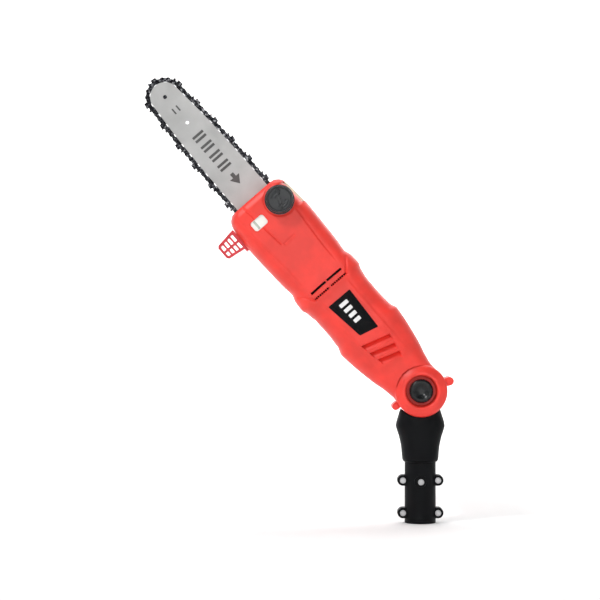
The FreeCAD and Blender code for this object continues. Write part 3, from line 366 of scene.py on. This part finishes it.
RED = casing_red()
STOP_RED = stop_red()
BLACK = moulded("black_plastic", (0.0035, 0.004, 0.005), 0.5, grain=1100, depth=0.0001, gloss=0.1)
GLOSS_BLACK = moulded("gloss_black", (0.006, 0.008, 0.009), 0.24, grain=1600, gloss=0.35)
SATIN_BLACK = moulded("satin_black", (0.022, 0.024, 0.026), 0.36, grain=1600, gloss=0.42)
# Near-black red for the vent floors: painted shade that stands for the shade deep inside the slots.
PAINTED_VENT_SHADE = moulded("painted_vent_shade", (0.012, 0.004, 0.003), 0.8)
TANK = tank_white()
BAR_STEEL = ground_steel("bar_steel", (0.46, 0.46, 0.455), 0.46, (1, 1, 14))
CHAIN = chain_steel()
SCREW_STEEL = ground_steel("screw_steel", (0.5, 0.5, 0.51), 0.28, (1, 6, 1))
CORE_STEEL = ground_steel("core_steel", (0.3, 0.3, 0.31), 0.4, (12, 1, 12))
ALUMINIUM = ground_steel("cast_aluminium", (0.6, 0.61, 0.62), 0.5, (1, 1, 1), scale=500)
BRASS = ground_steel("turned_brass", (0.62, 0.45, 0.18), 0.3, (1, 20, 1))
COPPER = wound_copper()
MARK_GREY = moulded("mark_grey", (0.09, 0.09, 0.09), 0.6)
LINE_GREY = moulded("line_grey", (0.5, 0.54, 0.47), 0.5)
LABEL_WHITE = moulded("label_white", (0.85, 0.85, 0.85), 0.45)
PANE_WHITE = moulded("pane_white", (0.9, 0.9, 0.85), 0.4, spread=0.04)

SLOT_MATERIALS = {
    "casing_red": RED,
    "stop_red": STOP_RED,
    "black_plastic": BLACK,
    "knob_black": SATIN_BLACK,
    "tank_white": TANK,
    "bar_steel": BAR_STEEL,
    "chain_steel": CHAIN,
    "screw_steel": SCREW_STEEL,
    "core_steel": CORE_STEEL,
    "copper": COPPER,
    "carbon": BLACK,
    "housing_aluminium": ALUMINIUM,
    "worm_brass": BRASS,
    "lead_rubber": BLACK,
}

# Bevel width in millimetres on the CAD nodes whose edges are seen.
SOFT_EDGES = {
    "casing_right_shell": 0.9, "sprocket_cover": 1.2, "cover_knob": 0.8, "branch_stop": 0.5,
    "socket_half_front": 0.6, "socket_half_rear": 0.6, "guide_bar": 0.25, "drive_sprocket": 0.3,
}


def dress_cad_nodes():
    """Give every CAD node its material, and soften the edges of those in SOFT_EDGES."""
    slots = {entry["node"]: entry["material_slot"] for entry in frame["record"]["subparts"]}
    for name, node in frame["nodes"].items():
        node.data.materials.clear()
        node.data.materials.append(SLOT_MATERIALS[slots[name]])
    for name, width in SOFT_EDGES.items():
        edge = frame["nodes"][name].modifiers.new("soft_edge", "BEVEL")
        edge.width = width * MM
        edge.segments = 2
        edge.limit_method = "ANGLE"
        edge.angle_limit = math.radians(40)
        edge.harden_normals = True


# ---------------------------------------------------------------- casing, near side

WIDTH = curve_through([
    (-12, 34), (8, 37.6), (18, 37.6), (36, 40.3), (54, 45), (72, 48.5), (90, 51.5), (107, 53.6),
    (117, 54.5), (126, 51), (140, 49.2), (165, 48.8), (188, 50), (198, 52.6), (205, 55.4), (221, 54.5),
    (233, 51.2), (251, 53), (280, 54.4), (322, 55.7), (352, 54.2), (366, 52.5), (374, 48.6), (379.5, 42),
])
HALF_DEPTH = curve_through([
    (-12, 33), (18, 34), (54, 37), (90, 42), (117, 44.4), (140, 43.4), (188, 44), (205, 46), (233, 45),
    (280, 46), (352, 46), (368, 45.2), (376, 43.4), (379.5, 40),
])
FLAT = curve_through([
    (-12, 14), (18, 16), (60, 21), (117, 26), (160, 24), (205, 30), (240, 33), (340, 36), (370, 34),
    (379.5, 27),
])
FRONT = 379.5
HUB_CUT = 37.5

# Front edge of each louvre, from its upper (s, t) to its lower (s, t).
LOUVRES = [(95.3, 19.3, 108.3, -23.2), (80.4, 16.4, 92.5, -20.9), (66.6, 14.2, 77.5, -17.5)]

# Where the tank's strip shows along the upper edge.
STRIP_START, STRIP_END = 327, 368


def louvre_depth(s, t):
    """Depth of the three slanted recesses, deepest at their front edge."""
    deepest = 0.0
    for high_s, high_t, low_s, low_t in LOUVRES:
        share = (t - low_t) / (high_t - low_t)
        behind = low_s + share * (high_s - low_s) - s
        taper = behind * 0.17
        inside = window(low_t + taper, high_t - taper, 0.7, t) * window(0.1, 9.2, 0.5, behind)
        deepest = max(deepest, inside * (7.4 - 0.72 * max(behind, 0)))
    return deepest


def vent_depth(s, t):
    """Depth of the two long slots across the collar, and of the row of short ones behind them."""
    crown = 0.00035 * t * t
    long_slot = window(213.9 - crown, 216.4 - crown, 0.5, s)
    sides = max(window(-28.4, -1.6, 0.6, t), window(2.0, 28.4, 0.6, t))
    deepest = 8.5 * long_slot * sides
    if abs(s - 205) < 3 and abs(t) < 29.5:
        pitch = 3.55
        phase = (t + 28.4) % pitch
        gap = 1 - window(-2.4, 1.2, 0.5, t)
        deepest = max(deepest, 4.2 * window(204.1, 206.1, 0.5, s) * window(0.7, 2.7, 0.5, phase) * gap)
    return deepest


def crease(s, t, start, end, width, depth):
    """A soft groove along one straight segment."""
    run = (end[0] - start[0], end[1] - start[1])
    length = math.hypot(*run)
    share = min(max(((s - start[0]) * run[0] + (t - start[1]) * run[1]) / length**2, 0), 1)
    gap = math.hypot(s - start[0] - share * run[0], t - start[1] - share * run[1])
    return depth * math.exp(-((gap / width) ** 2))


def relief(s, t):
    """How far the near face lies below its plain surface, in millimetres."""
    depth = louvre_depth(s, t) + vent_depth(s, t)
    side = abs(t)
    edge = 32 + 8 * smooth_step(240, 375, s)
    plateau = smooth_step(222, 262, s) * (1 - smooth_step(368, 378, s))
    depth -= 1.54 * plateau * (1 - smooth_step(edge - 2.5, edge + 0.5, side))
    depth += crease(s, side, (204, 30), (224, 46), 1.8, 2.6)
    for start, end in (((380, -21.7), (300, -14)), ((297, -10), (297, 9))):
        depth += crease(s, t, start, end, 1.2, 1.3)
    handle = smooth_step(56, 66, s) * (1 - smooth_step(186, 200, s))
    depth -= 0.9 * handle * (1 - smooth_step(23.5, 27.5, side))
    cap_gap = math.hypot(s - CAP_CENTRE[0], t - CAP_CENTRE[1])
    depth += 0.9 * (1 - smooth_step(23.6, 25, cap_gap))
    return depth


def near_width(s, high_side):
    """Half width of the near skin; the upper side makes room for the tank's strip."""
    width = WIDTH(s)
    if high_side:
        width -= 4.4 * window(STRIP_START, STRIP_END, 1.5, s)
    return width


def casing_point(s, v):
    """Point on the near skin; v runs from -1 at the lower parting edge to 1 at the upper one."""
    width = near_width(s, v > 0)
    depth = HALF_DEPTH(s)
    flat = min(FLAT(s), width - 12)
    side = 1 if v > 0 else -1
    v = abs(v)
    face_end, corner_end = 0.62, 0.94
    if v <= face_end:
        t = flat * v / face_end
        bow = 0.8 * (v / face_end) ** 2
        return t * side, -(depth - bow) + relief(s, t * side)
    base = depth * 0.3
    if v <= corner_end:
        angle = (v - face_end) / (corner_end - face_end) * math.pi / 2
        t = flat + (width - flat) * math.sin(angle) ** 0.92
        y = base + (depth - 0.8 - base) * math.cos(angle) ** 0.92
        fade = math.cos(angle)
        return t * side, -y + relief(s, t * side) * fade
    share = (v - corner_end) / (1 - corner_end)
    tuck = 0.5 * smooth_step(0.8, 1.0, share)
    return (width - tuck) * side, -base * (1 - share)


def casing_stations():
    """Rows of the casing mesh: close together where the louvres and vents are."""
    stations = []
    s = 4.0
    while s < FRONT:
        stations.append(s)
        fine = 62 < s < 112 or 201 < s < 219
        s += 0.6 if fine else (0.8 if s > 366 else 1.6)
    stations.append(FRONT)
    return stations


def make_near_shell():
    """The casing's near half, with its vents floored in painted shade, louvres, hub and ears, and holes for cap
    and window.
    """
    stations = casing_stations()
    columns = [-1 + 2 * k / 170 for k in range(171)]
    verts, faces, slots = [], [], []
    for s in stations:
        for v in columns:
            t, y = casing_point(s, v)
            verts.append(place(s, t, y))
    count = len(columns)
    for i in range(len(stations) - 1):
        for j in range(count - 1):
            s = (stations[i] + stations[i + 1]) / 2
            t, y = casing_point(s, (columns[j] + columns[j + 1]) / 2)
            inside_cap = math.hypot(s - CAP_CENTRE[0], t - CAP_CENTRE[1]) < 17.4 and y < -20
            inside_window = window_hole(s, t) and y < -20
            in_hub = math.hypot(s, t) < HUB_CUT
            if inside_cap or inside_window or in_hub:
                continue
            faces.append((i * count + j, i * count + j + 1, (i + 1) * count + j + 1, (i + 1) * count + j))
            # Faces deep in the vents take slot 1, the painted shade; the rest take the red.
            slots.append(1 if vent_depth(s, t) > 3.2 and y < -30 else 0)
    front_row = [(len(stations) - 1) * count + j for j in range(count)]
    faces.append(tuple(front_row))
    slots.append(0)
    add_window_rim(verts, faces, slots)
    add_hub(verts, faces, slots)
    add_ears(verts, faces, slots)
    piece = new_piece("near_casing", verts, faces, "saw_head", [RED, PAINTED_VENT_SHADE], slots, 50)
    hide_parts("casing_left_shell")


WINDOW_LOW, WINDOW_HIGH, WINDOW_ROUND = (336.1, -30.3), (352.6, -6.0), 4.5


def window_outline(grow):
    """Rounded rectangle of the oil window in (s, t), grown outward."""
    steps = 6
    low = (WINDOW_LOW[0] - grow, WINDOW_LOW[1] - grow)
    high = (WINDOW_HIGH[0] + grow, WINDOW_HIGH[1] + grow)
    radius = WINDOW_ROUND + grow
    centres = [
        (high[0] - radius, high[1] - radius, 0),
        (low[0] + radius, high[1] - radius, 90),
        (low[0] + radius, low[1] + radius, 180),
        (high[0] - radius, low[1] + radius, 270),
    ]
    points = []
    for cs, ct, start in centres:
        for k in range(steps + 1):
            ds, dt = turned(math.radians(start + 90 * k / steps), radius)
            points.append((cs + ds, ct + dt))
    return points


def window_hole(s, t):
    """Whether (s, t) is inside the oil window."""
    low, high = WINDOW_LOW, WINDOW_HIGH
    if not (low[0] < s < high[0] and low[1] < t < high[1]):
        return False
    ds = max(low[0] + WINDOW_ROUND - s, s - high[0] + WINDOW_ROUND, 0)
    dt = max(low[1] + WINDOW_ROUND - t, t - high[1] + WINDOW_ROUND, 0)
    return math.hypot(ds, dt) < WINDOW_ROUND


def add_window_rim(verts, faces, slots):
    """Rounded lip around the oil window, down to the tank."""
    rings = [(1.9, -45.6), (1.5, -47.1), (0.5, -47.4), (0.0, -46.9), (0.0, -42.6)]
    for pair in zip(rings, rings[1:]):
        points = [place(s, t, y) for grow, y in pair for s, t in window_outline(grow)]
        bridge = ring_quads(2, len(points) // 2)
        append_mesh(verts, faces, points, bridge)
        slots.extend([0] * len(bridge))


def add_lathe(verts, faces, slots, profile, centre, steps):
    """Add a turned part in the casing's own red."""
    more_verts, more_faces = lathe(profile, centre, steps)
    append_mesh(verts, faces, more_verts, more_faces)
    slots.extend([0] * len(more_faces))


def add_hub(verts, faces, slots):
    """Hub disc: sloped outer face, rounded crest and the deep bore for the lock button."""
    outline = rounded([
        (39.0, -14.3), (39.0, -29.8), (36.8, -33.2), (31.0, -36.6), (28.0, -38.0), (24.6, -37.8),
        (23.0, -35.0), (23.0, -18.6), (12.0, -18.6),
    ], 2.2)
    inner_face = [(39.0, -14.3), (12.0, -14.3)]
    for profile in (outline, inner_face):
        add_lathe(verts, faces, slots, profile, TILT_AXIS, 128)


# (s, t, radius) of the screw ears.
EARS = [(-17.2, 41.4, 6.3), (6.9, -43.9, 5.2)]


def add_ears(verts, faces, slots):
    """Screw ears on the hub's rim, near half: each a disc, with a lower one that roots it in the hub."""
    for s, t, radius in EARS:
        for share, face in ((1.0, -22), (0.94, -20.5)):
            outline = rounded([(0.01, face), (radius, face), (radius, 0)], 1.2)
            add_lathe(verts, faces, slots, outline, (s * share, t * share), 40)


# ---------------------------------------------------------------- button, cap, label, small parts


def make_button():
    """Dished lock button: a round crest with a smooth hollow in the middle."""
    profile = [(0.01, -30.4)]
    for k in range(1, 13):
        u = k / 12
        profile.append((13.2 * u, -30.4 - 5.1 * smooth_step(0.3, 1.0, u)))
    for k in range(1, 13):
        angle = k / 12 * math.pi / 2
        profile.append((13.2 + 4.4 * math.sin(angle), -31.3 - 4.2 * math.cos(angle)))
    profile += [(17.6, -24), (5, -24), (5, 0.4)]
    verts, faces = lathe(profile, TILT_AXIS)
    piece = new_piece("dished_lock_button", verts, faces, "tilt_lock", [GLOSS_BLACK])
    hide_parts("lock_button")


def make_cap():
    """Oil cap: many-sided fluted skirt, raised rim, dished face with raised arcs and a grip bar."""
    low, high = node_head_box("oil_cap")
    top = low[2]
    centre = ((low[0] + high[0]) / 2, (low[1] + high[1]) / 2)

    def flutes(angle, radius, y):
        if radius < 17.5 or y > top + 15.5:
            return 1.0
        return 1 - 0.035 * (0.5 + 0.5 * math.cos(12 * angle)) ** 2

    def face_height(radius, angle):
        height = 1.6 * smooth_step(16.2, 17.2, radius)
        for arc in (7.0, 11.5):
            broken = 0.5 + 0.5 * math.tanh(6 * math.cos(2 * angle))
            height += 0.9 * window(arc, arc + 1.5, 0.5, radius) * broken
        bar = abs(radius * math.sin(angle - 0.5)) < 1.8 and radius < 14.5
        return height + (1.2 if bar else 0)

    def spot(angle, radius, y):
        s, t = turned(angle, radius * flutes(angle, radius, y))
        return centre[0] + s, centre[1] + t

    verts = []
    steps = 144
    radii = [0.01] + [0.8 * k for k in range(1, 22)] + [17.4, 18.2, 19.0, 19.6]
    skirt = [
        (20.0, 0.5), (20.2, 1.6), (20.3, 8), (20.4, 15), (20.6, 15.4), (22.0, 15.6), (22.0, 18.4),
        (14.2, 18.6), (14.2, 30),
    ]
    for k in range(steps):
        angle = 2 * math.pi * k / steps
        for radius in radii:
            lift = face_height(radius, angle) - 1.6
            drop = 0.5 * smooth_step(18.6, 19.6, radius)
            verts.append(place(*spot(angle, radius, top), top - lift + drop))
        for radius, rise in skirt:
            verts.append(place(*spot(angle, radius, top + rise), top + rise))
    faces = quads(steps, len(radii) + len(skirt), closed=True)
    piece = new_piece("fluted_oil_cap", verts, faces, "filler_cap", [SATIN_BLACK], angle=35)
    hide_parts("oil_cap")


def flat_patch(name, outline, height, thickness, material_used, body="saw_head"):
    """A thin patch, its outline in (s, t), raised from a plane at a height toward the near side."""
    verts = []
    count = len(outline)
    middle = (sum(p[0] for p in outline) / count, sum(p[1] for p in outline) / count)
    for shrink, lift in ((1.0, -2.0), (1.0, thickness * 0.7), (0.985, thickness)):
        for s, t in outline:
            ps = middle[0] + (s - middle[0]) * shrink
            pt = middle[1] + (t - middle[1]) * shrink
            verts.append(place(ps, pt, -height - lift))
    faces = ring_quads(3, count)
    centre = len(verts)
    verts.append(place(*middle, -height - thickness))
    for k in range(count):
        faces.append((2 * count + k, 2 * count + (k + 1) % count, centre))
    return new_piece(name, verts, faces, body, [material_used])


def closed_round(points, radius):
    """A closed outline with rounded corners."""
    ring = rounded([points[-1]] + list(points) + [points[0]], radius, 4)
    return ring[1:-1]


def dense(outline, gap=3.0):
    """The same closed outline with long sides divided."""
    out = []
    for a, b in zip(outline, outline[1:] + outline[:1]):
        pieces = max(1, int(math.dist(a, b) / gap))
        for k in range(pieces):
            out.append((a[0] + (b[0] - a[0]) * k / pieces, a[1] + (b[1] - a[1]) * k / pieces))
    return out


# Height of the name plate's seat over the parting plane.
PLATE_HEIGHT = 45.0


def make_label():
    """Black nameplate with four plain stripes and no lettering."""
    outline = dense(closed_round([(114.5, 14.2), (183.5, 18.2), (184, -22.4), (122, -14.8)], 1.5))
    plate = flat_patch("name_plate", outline, PLATE_HEIGHT, 0.5, BLACK)
    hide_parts("label_plate")
    for index, start in enumerate((176, 166, 156, 146)):
        end = start - 6
        half = 7.5 - 0.6 * index
        high, low = half - 2, -half - 2
        stripe = dense(closed_round([(start, high), (end, high), (end, low), (start, low)], 1.2))
        mark = flat_patch("plate_stripe_%d" % index, stripe, PLATE_HEIGHT + 0.5, 0.15, LABEL_WHITE)


def make_window():
    """Milky oil window with a grey level line, in the lip of the casing."""
    pane = flat_patch("oil_window", window_outline(-0.2), 45.4, 0.6, PANE_WHITE)
    line = closed_round([(351.6, -21.2), (337.1, -21.2), (337.1, -24.6), (351.6, -24.6)], 0.8)
    level = flat_patch("oil_level_line", line, 46.0, 0.1, LINE_GREY)


def make_tank_skin():
    """Milky tank inside the casing, with the strip that shows along the casing's upper edge."""
    verts = []
    stations = [313 + 2.4 * k for k in range(25)]
    columns = [-1 + 2 * k / 60 for k in range(61)]
    for s in stations:
        for v in columns:
            t, y = casing_point(s, v)
            verts.append(place(s, t * 0.9, y * 0.86))
    count = len(columns)
    faces = quads(len(stations), count)
    for i in (0, len(stations) - 1):
        faces.append(tuple(i * count + j for j in range(count)))
    strip = closed_round([(44, -15.6), (0, -15.6), (0, 15.6), (44, 15.6)], 3.4)
    first = len(verts)
    rows = [STRIP_START + 0.6 + 1.3 * k for k in range(31)]
    for s in rows:
        edge = WIDTH(s) - 0.5
        for inward, y in strip:
            verts.append(place(s, edge - inward * 0.25, y))
    count = len(strip)
    faces += ring_quads(len(rows), count, first)
    for i in (0, len(rows) - 1):
        faces.append(tuple(first + i * count + k for k in range(count)))
    filler_neck = [(14.6, -36), (16.8, -36), (16.8, -45.9), (14.6, -45.9), (14.6, -36)]
    append_mesh(verts, faces, *lathe(filler_neck, CAP_CENTRE))
    piece = new_piece("tank_skin", verts, faces, "saw_head", [TANK], angle=45)
    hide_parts("oil_tank")


# ---------------------------------------------------------------- bar marks


def bar_patch(name, outline):
    """A thin dark mark on the bar's near face."""
    low, _ = node_head_box("guide_bar")
    patch = flat_patch(name, dense(outline, 6), -low[2], 0.06, MARK_GREY, "bar_and_chain")


def make_bar_marks():
    """Plain marks on the bar: four pairs of strips, an arrow, and two short strips near the nose."""
    half, width = 10, 4
    for index, start in enumerate((510, 503, 491, 484, 472, 465, 453, 446)):
        end = start - width
        strip = closed_round([(start, half), (end, half), (end, -half), (start, -half)], 0.8)
        bar_patch("bar_mark_%d" % index, strip)
    bar_patch("bar_arrow", [(411, 0), (424, 9), (424, 3), (431, 3), (431, -3), (424, -3), (424, -9)])
    for index, t in enumerate((4.0, -4.0)):
        strip = closed_round([(563, t + 1.2), (553, t + 1.2), (553, t - 1.2), (563, t - 1.2)], 0.5)
        bar_patch("bar_size_mark_%d" % index, strip)


# ---------------------------------------------------------------- neck


def make_neck():
    """Both neck skins: waisted, with a rounded foot and a saddle that follows the hub."""
    widths = curve_through([
        (NECK_FOOT, 24.6), (93.2, 26), (96, 26.8), (112, 28.4), (128, 31.6), (140, 35.4), (145, 36.5),
        (149, 36),
        (158, 33.4), (168, 30.2), (175, 26),
    ])
    depths = curve_through([
        (NECK_FOOT, 24.6), (93.2, 26), (96, 26.6), (112, 27.8), (142, 30), (150, 29.9), (175, 27),
    ])
    hub_z = HUB.z / MM
    columns, rows = 72, 56
    squareness = 0.78
    halves = (("neck_skin_front", "neck_front_half", -1), ("neck_skin_rear", "neck_rear_half", 1))
    for name, node, side in halves:
        verts = []
        for i in range(rows + 1):
            for j in range(columns + 1):
                x, y = turned(math.pi * j / columns, 1)
                unit_x = math.copysign(abs(x) ** squareness, x)
                unit_y = abs(y) ** squareness
                top = saddle_height(unit_x, widths, hub_z)
                z = NECK_FOOT + (top - NECK_FOOT) * i / rows
                verts.append((unit_x * widths(z) * MM, side * unit_y * depths(z) * MM, z * MM))
        count = columns + 1
        faces = quads(rows + 1, count)
        add_saddle(verts, faces, rows * count, count, side, hub_z)
        add_foot(verts, faces, count)
        piece = new_piece(name, verts, faces, "pole_adaptor", [BLACK], angle=48)
        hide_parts(node)


def saddle_height(unit_x, width, hub_z):
    """Where a column of the neck's skin meets the hub's clearance cylinder."""
    reach = 39.6
    z = 158.0
    for _ in range(12):
        x = abs(unit_x) * width(z)
        z = hub_z - math.sqrt(max(reach * reach - x * x, 0.0)) if x < reach else 170.0
        z = min(z, 170.0)
    return z


def add_saddle(verts, faces, first, count, side, hub_z):
    """Close the top: the skin's upper edge to the tongue's face, then the tongue's disc and stem."""
    base = len(verts)
    for j in range(count):
        x, y, z = verts[first + j]
        verts.append((x, side * min(abs(y), TONGUE_HALF * MM), z))
    for j in range(count - 1):
        faces.append((first + j, first + j + 1, base + j + 1, base + j))
    disc = len(verts)
    steps = 64
    for y in (TONGUE_HALF, 0.0):
        for k in range(steps):
            x, rise = turned(2 * math.pi * k / steps, 30)
            verts.append((x * MM, side * y * MM, (hub_z + rise) * MM))
    faces.extend(ring_quads(2, steps, disc))
    faces.append(tuple(disc + k for k in range(steps)))
    stem = len(verts)
    for x in (-20, 20):
        for y in (0, TONGUE_HALF):
            for z in (148, 176):
                verts.append((x * MM, side * y * MM, z * MM))
    for corners in ((0, 1, 3, 2), (4, 5, 7, 6), (2, 3, 7, 6), (0, 1, 5, 4)):
        faces.append(tuple(stem + c for c in corners))


def add_foot(verts, faces, count):
    """Turn the lower rim in toward the socket's spigot."""
    base = len(verts)
    for j in range(count):
        x, y, z = verts[j]
        shrink = 21.6 * MM / math.hypot(x, y)
        verts.append((x * shrink, y * shrink, z))
    for j in range(count - 1):
        faces.append((j, j + 1, base + j + 1, base + j))


# ---------------------------------------------------------------- screws


def screw_head(name, x, z, front):
    """Domed screw head on the socket with a six-lobed recess, its crest at front, toward -Y."""
    radius, height = 4.4, 2.6
    steps = 48
    rings = [
        (1.0, 0.0), (1.0, 0.45), (0.9, 0.8), (0.7, 0.95), (0.52, 1.0), (0.5, 0.55), (0.42, 0.4),
        (0.01, 0.36),
    ]
    verts = []
    for k in range(steps):
        angle = 2 * math.pi * k / steps
        for share, rise in rings:
            lobe = 1 + 0.2 * math.cos(6 * angle) if share <= 0.52 else 1
            across, up = turned(angle, radius * share * lobe)
            verts.append(((x + across) * MM, (front + height - height * rise) * MM, (z + up) * MM))
    faces = quads(steps, len(rings), closed=True)
    piece = new_piece(name, verts, faces, "pole_adaptor", [SCREW_STEEL], angle=35)


def make_socket_screw_heads():
    """Faces of the four ear screws and of the centre screw."""
    for index, (x, z) in enumerate([(-26.2, 15), (26.2, 15), (-26.2, 63.5), (26.2, 63.5)]):
        screw_head("socket_screw_face_%d" % index, x, z, -12.2)
    screw_head("centre_screw_face", 0, 62, -24.6)


# ---------------------------------------------------------------- stage, lights and camera


def make_stage():
    """Round pale floor that curves up into a pale wall all the way round."""
    made, nodes, links, shader = material("stage_pale", (0.93, 0.93, 0.93), 0.9)
    shader.inputs["Emission Color"].default_value = (1, 1, 1, 1)
    shader.inputs["Emission Strength"].default_value = 0.08
    soft = noise(nodes, links, 3, 2)
    tint = ramp(nodes, links, soft.outputs["Fac"], [(0.3, (0.92, 0.92, 0.92)), (0.7, (0.95, 0.95, 0.95))])
    links.new(tint.outputs["Color"], shader.inputs["Base Color"])
    floor_radius, bend, wall_top = 2.4, 1.4, 4.0
    profile = [(0.01, 0.0), (floor_radius, 0.0)]
    for k in range(1, 17):
        angle = math.pi / 2 * k / 16
        profile.append((floor_radius + bend * math.sin(angle), bend - bend * math.cos(angle)))
    profile.append((floor_radius + bend, wall_top))
    ground = cad_low[2] - 0.0005
    steps = 96
    verts = []
    for k in range(steps):
        verts += [(*turned(2 * math.pi * k / steps, r), ground + z) for r, z in profile]
    mesh = bpy.data.meshes.new("pale_stage")
    mesh.from_pydata(verts, [], quads(steps, len(profile), closed=True))
    mesh.materials.append(made)
    for face in mesh.polygons:
        face.use_smooth = True
    stage = bpy.data.objects.new("pale_stage", mesh)
    bpy.context.scene.collection.objects.link(stage)


def area_light(name, spot, aim, size, power):
    """A rectangular light at spot, turned toward aim."""
    lamp = bpy.data.lights.new(name, "AREA")
    lamp.shape = "RECTANGLE"
    lamp.size, lamp.size_y = size
    lamp.energy = power
    holder = bpy.data.objects.new(name, lamp)
    holder.location = spot
    holder.rotation_euler = (Vector(aim) - Vector(spot)).to_track_quat("-Z", "Y").to_euler()
    bpy.context.scene.collection.objects.link(holder)


def make_lights(centre):
    """Soft lights on the object, and two that keep the wall and the floor pale."""
    world = bpy.data.worlds.new("soft_world")
    world.use_nodes = True
    background = world.node_tree.nodes["Background"]
    background.inputs["Color"].default_value = (1, 1, 1, 1)
    background.inputs["Strength"].default_value = 0.04
    bpy.context.scene.world = world
    area_light("key", centre + Vector((-1.0, -1.2, 1.5)), centre, (0.4, 0.4), 20)
    area_light("front", centre + Vector((0.1, -2.2, 0.1)), centre, (0.5, 0.5), 5)
    area_light("top", centre + Vector((0.2, -0.1, 1.5)), centre, (0.8, 0.5), 3)
    area_light("back", centre + Vector((0.7, 1.7, 1.0)), centre, (0.8, 0.8), 3)
    area_light("wall", Vector((0.0, 1.9, 1.9)), Vector((0.0, 3.8, 0.6)), (3.0, 0.6), 62)
    area_light("floor", Vector((0.0, 0.9, 2.4)), Vector((0.0, 1.0, 0.0)), (3.0, 0.8), 30)


def make_camera():
    """Level and square to the head's side, aimed at CAMERA_AIM."""
    data = bpy.data.cameras.new("view")
    data.sensor_width = 36
    data.lens = data.sensor_width * CAMERA_DISTANCE / PICTURE_WIDTH
    camera = bpy.data.objects.new("view", data)
    x, y, z = CAMERA_AIM
    camera.location = (x, y - CAMERA_DISTANCE, z)
    camera.rotation_euler = (math.pi / 2, 0, 0)
    bpy.context.scene.collection.objects.link(camera)
    bpy.context.scene.camera = camera


def main():
    """Dress the CAD nodes, then make the pieces, the stage, the lights and the camera."""
    centre = (Vector(cad_low) + Vector(cad_high)) / 2
    dress_cad_nodes()
    make_near_shell()
    make_button()
    make_cap()
    make_label()
    make_window()
    make_tank_skin()
    make_bar_marks()
    make_neck()
    make_socket_screw_heads()
    make_stage()
    make_lights(centre)
    make_camera()
    bpy.context.scene.view_settings.view_transform = "Standard"


main()
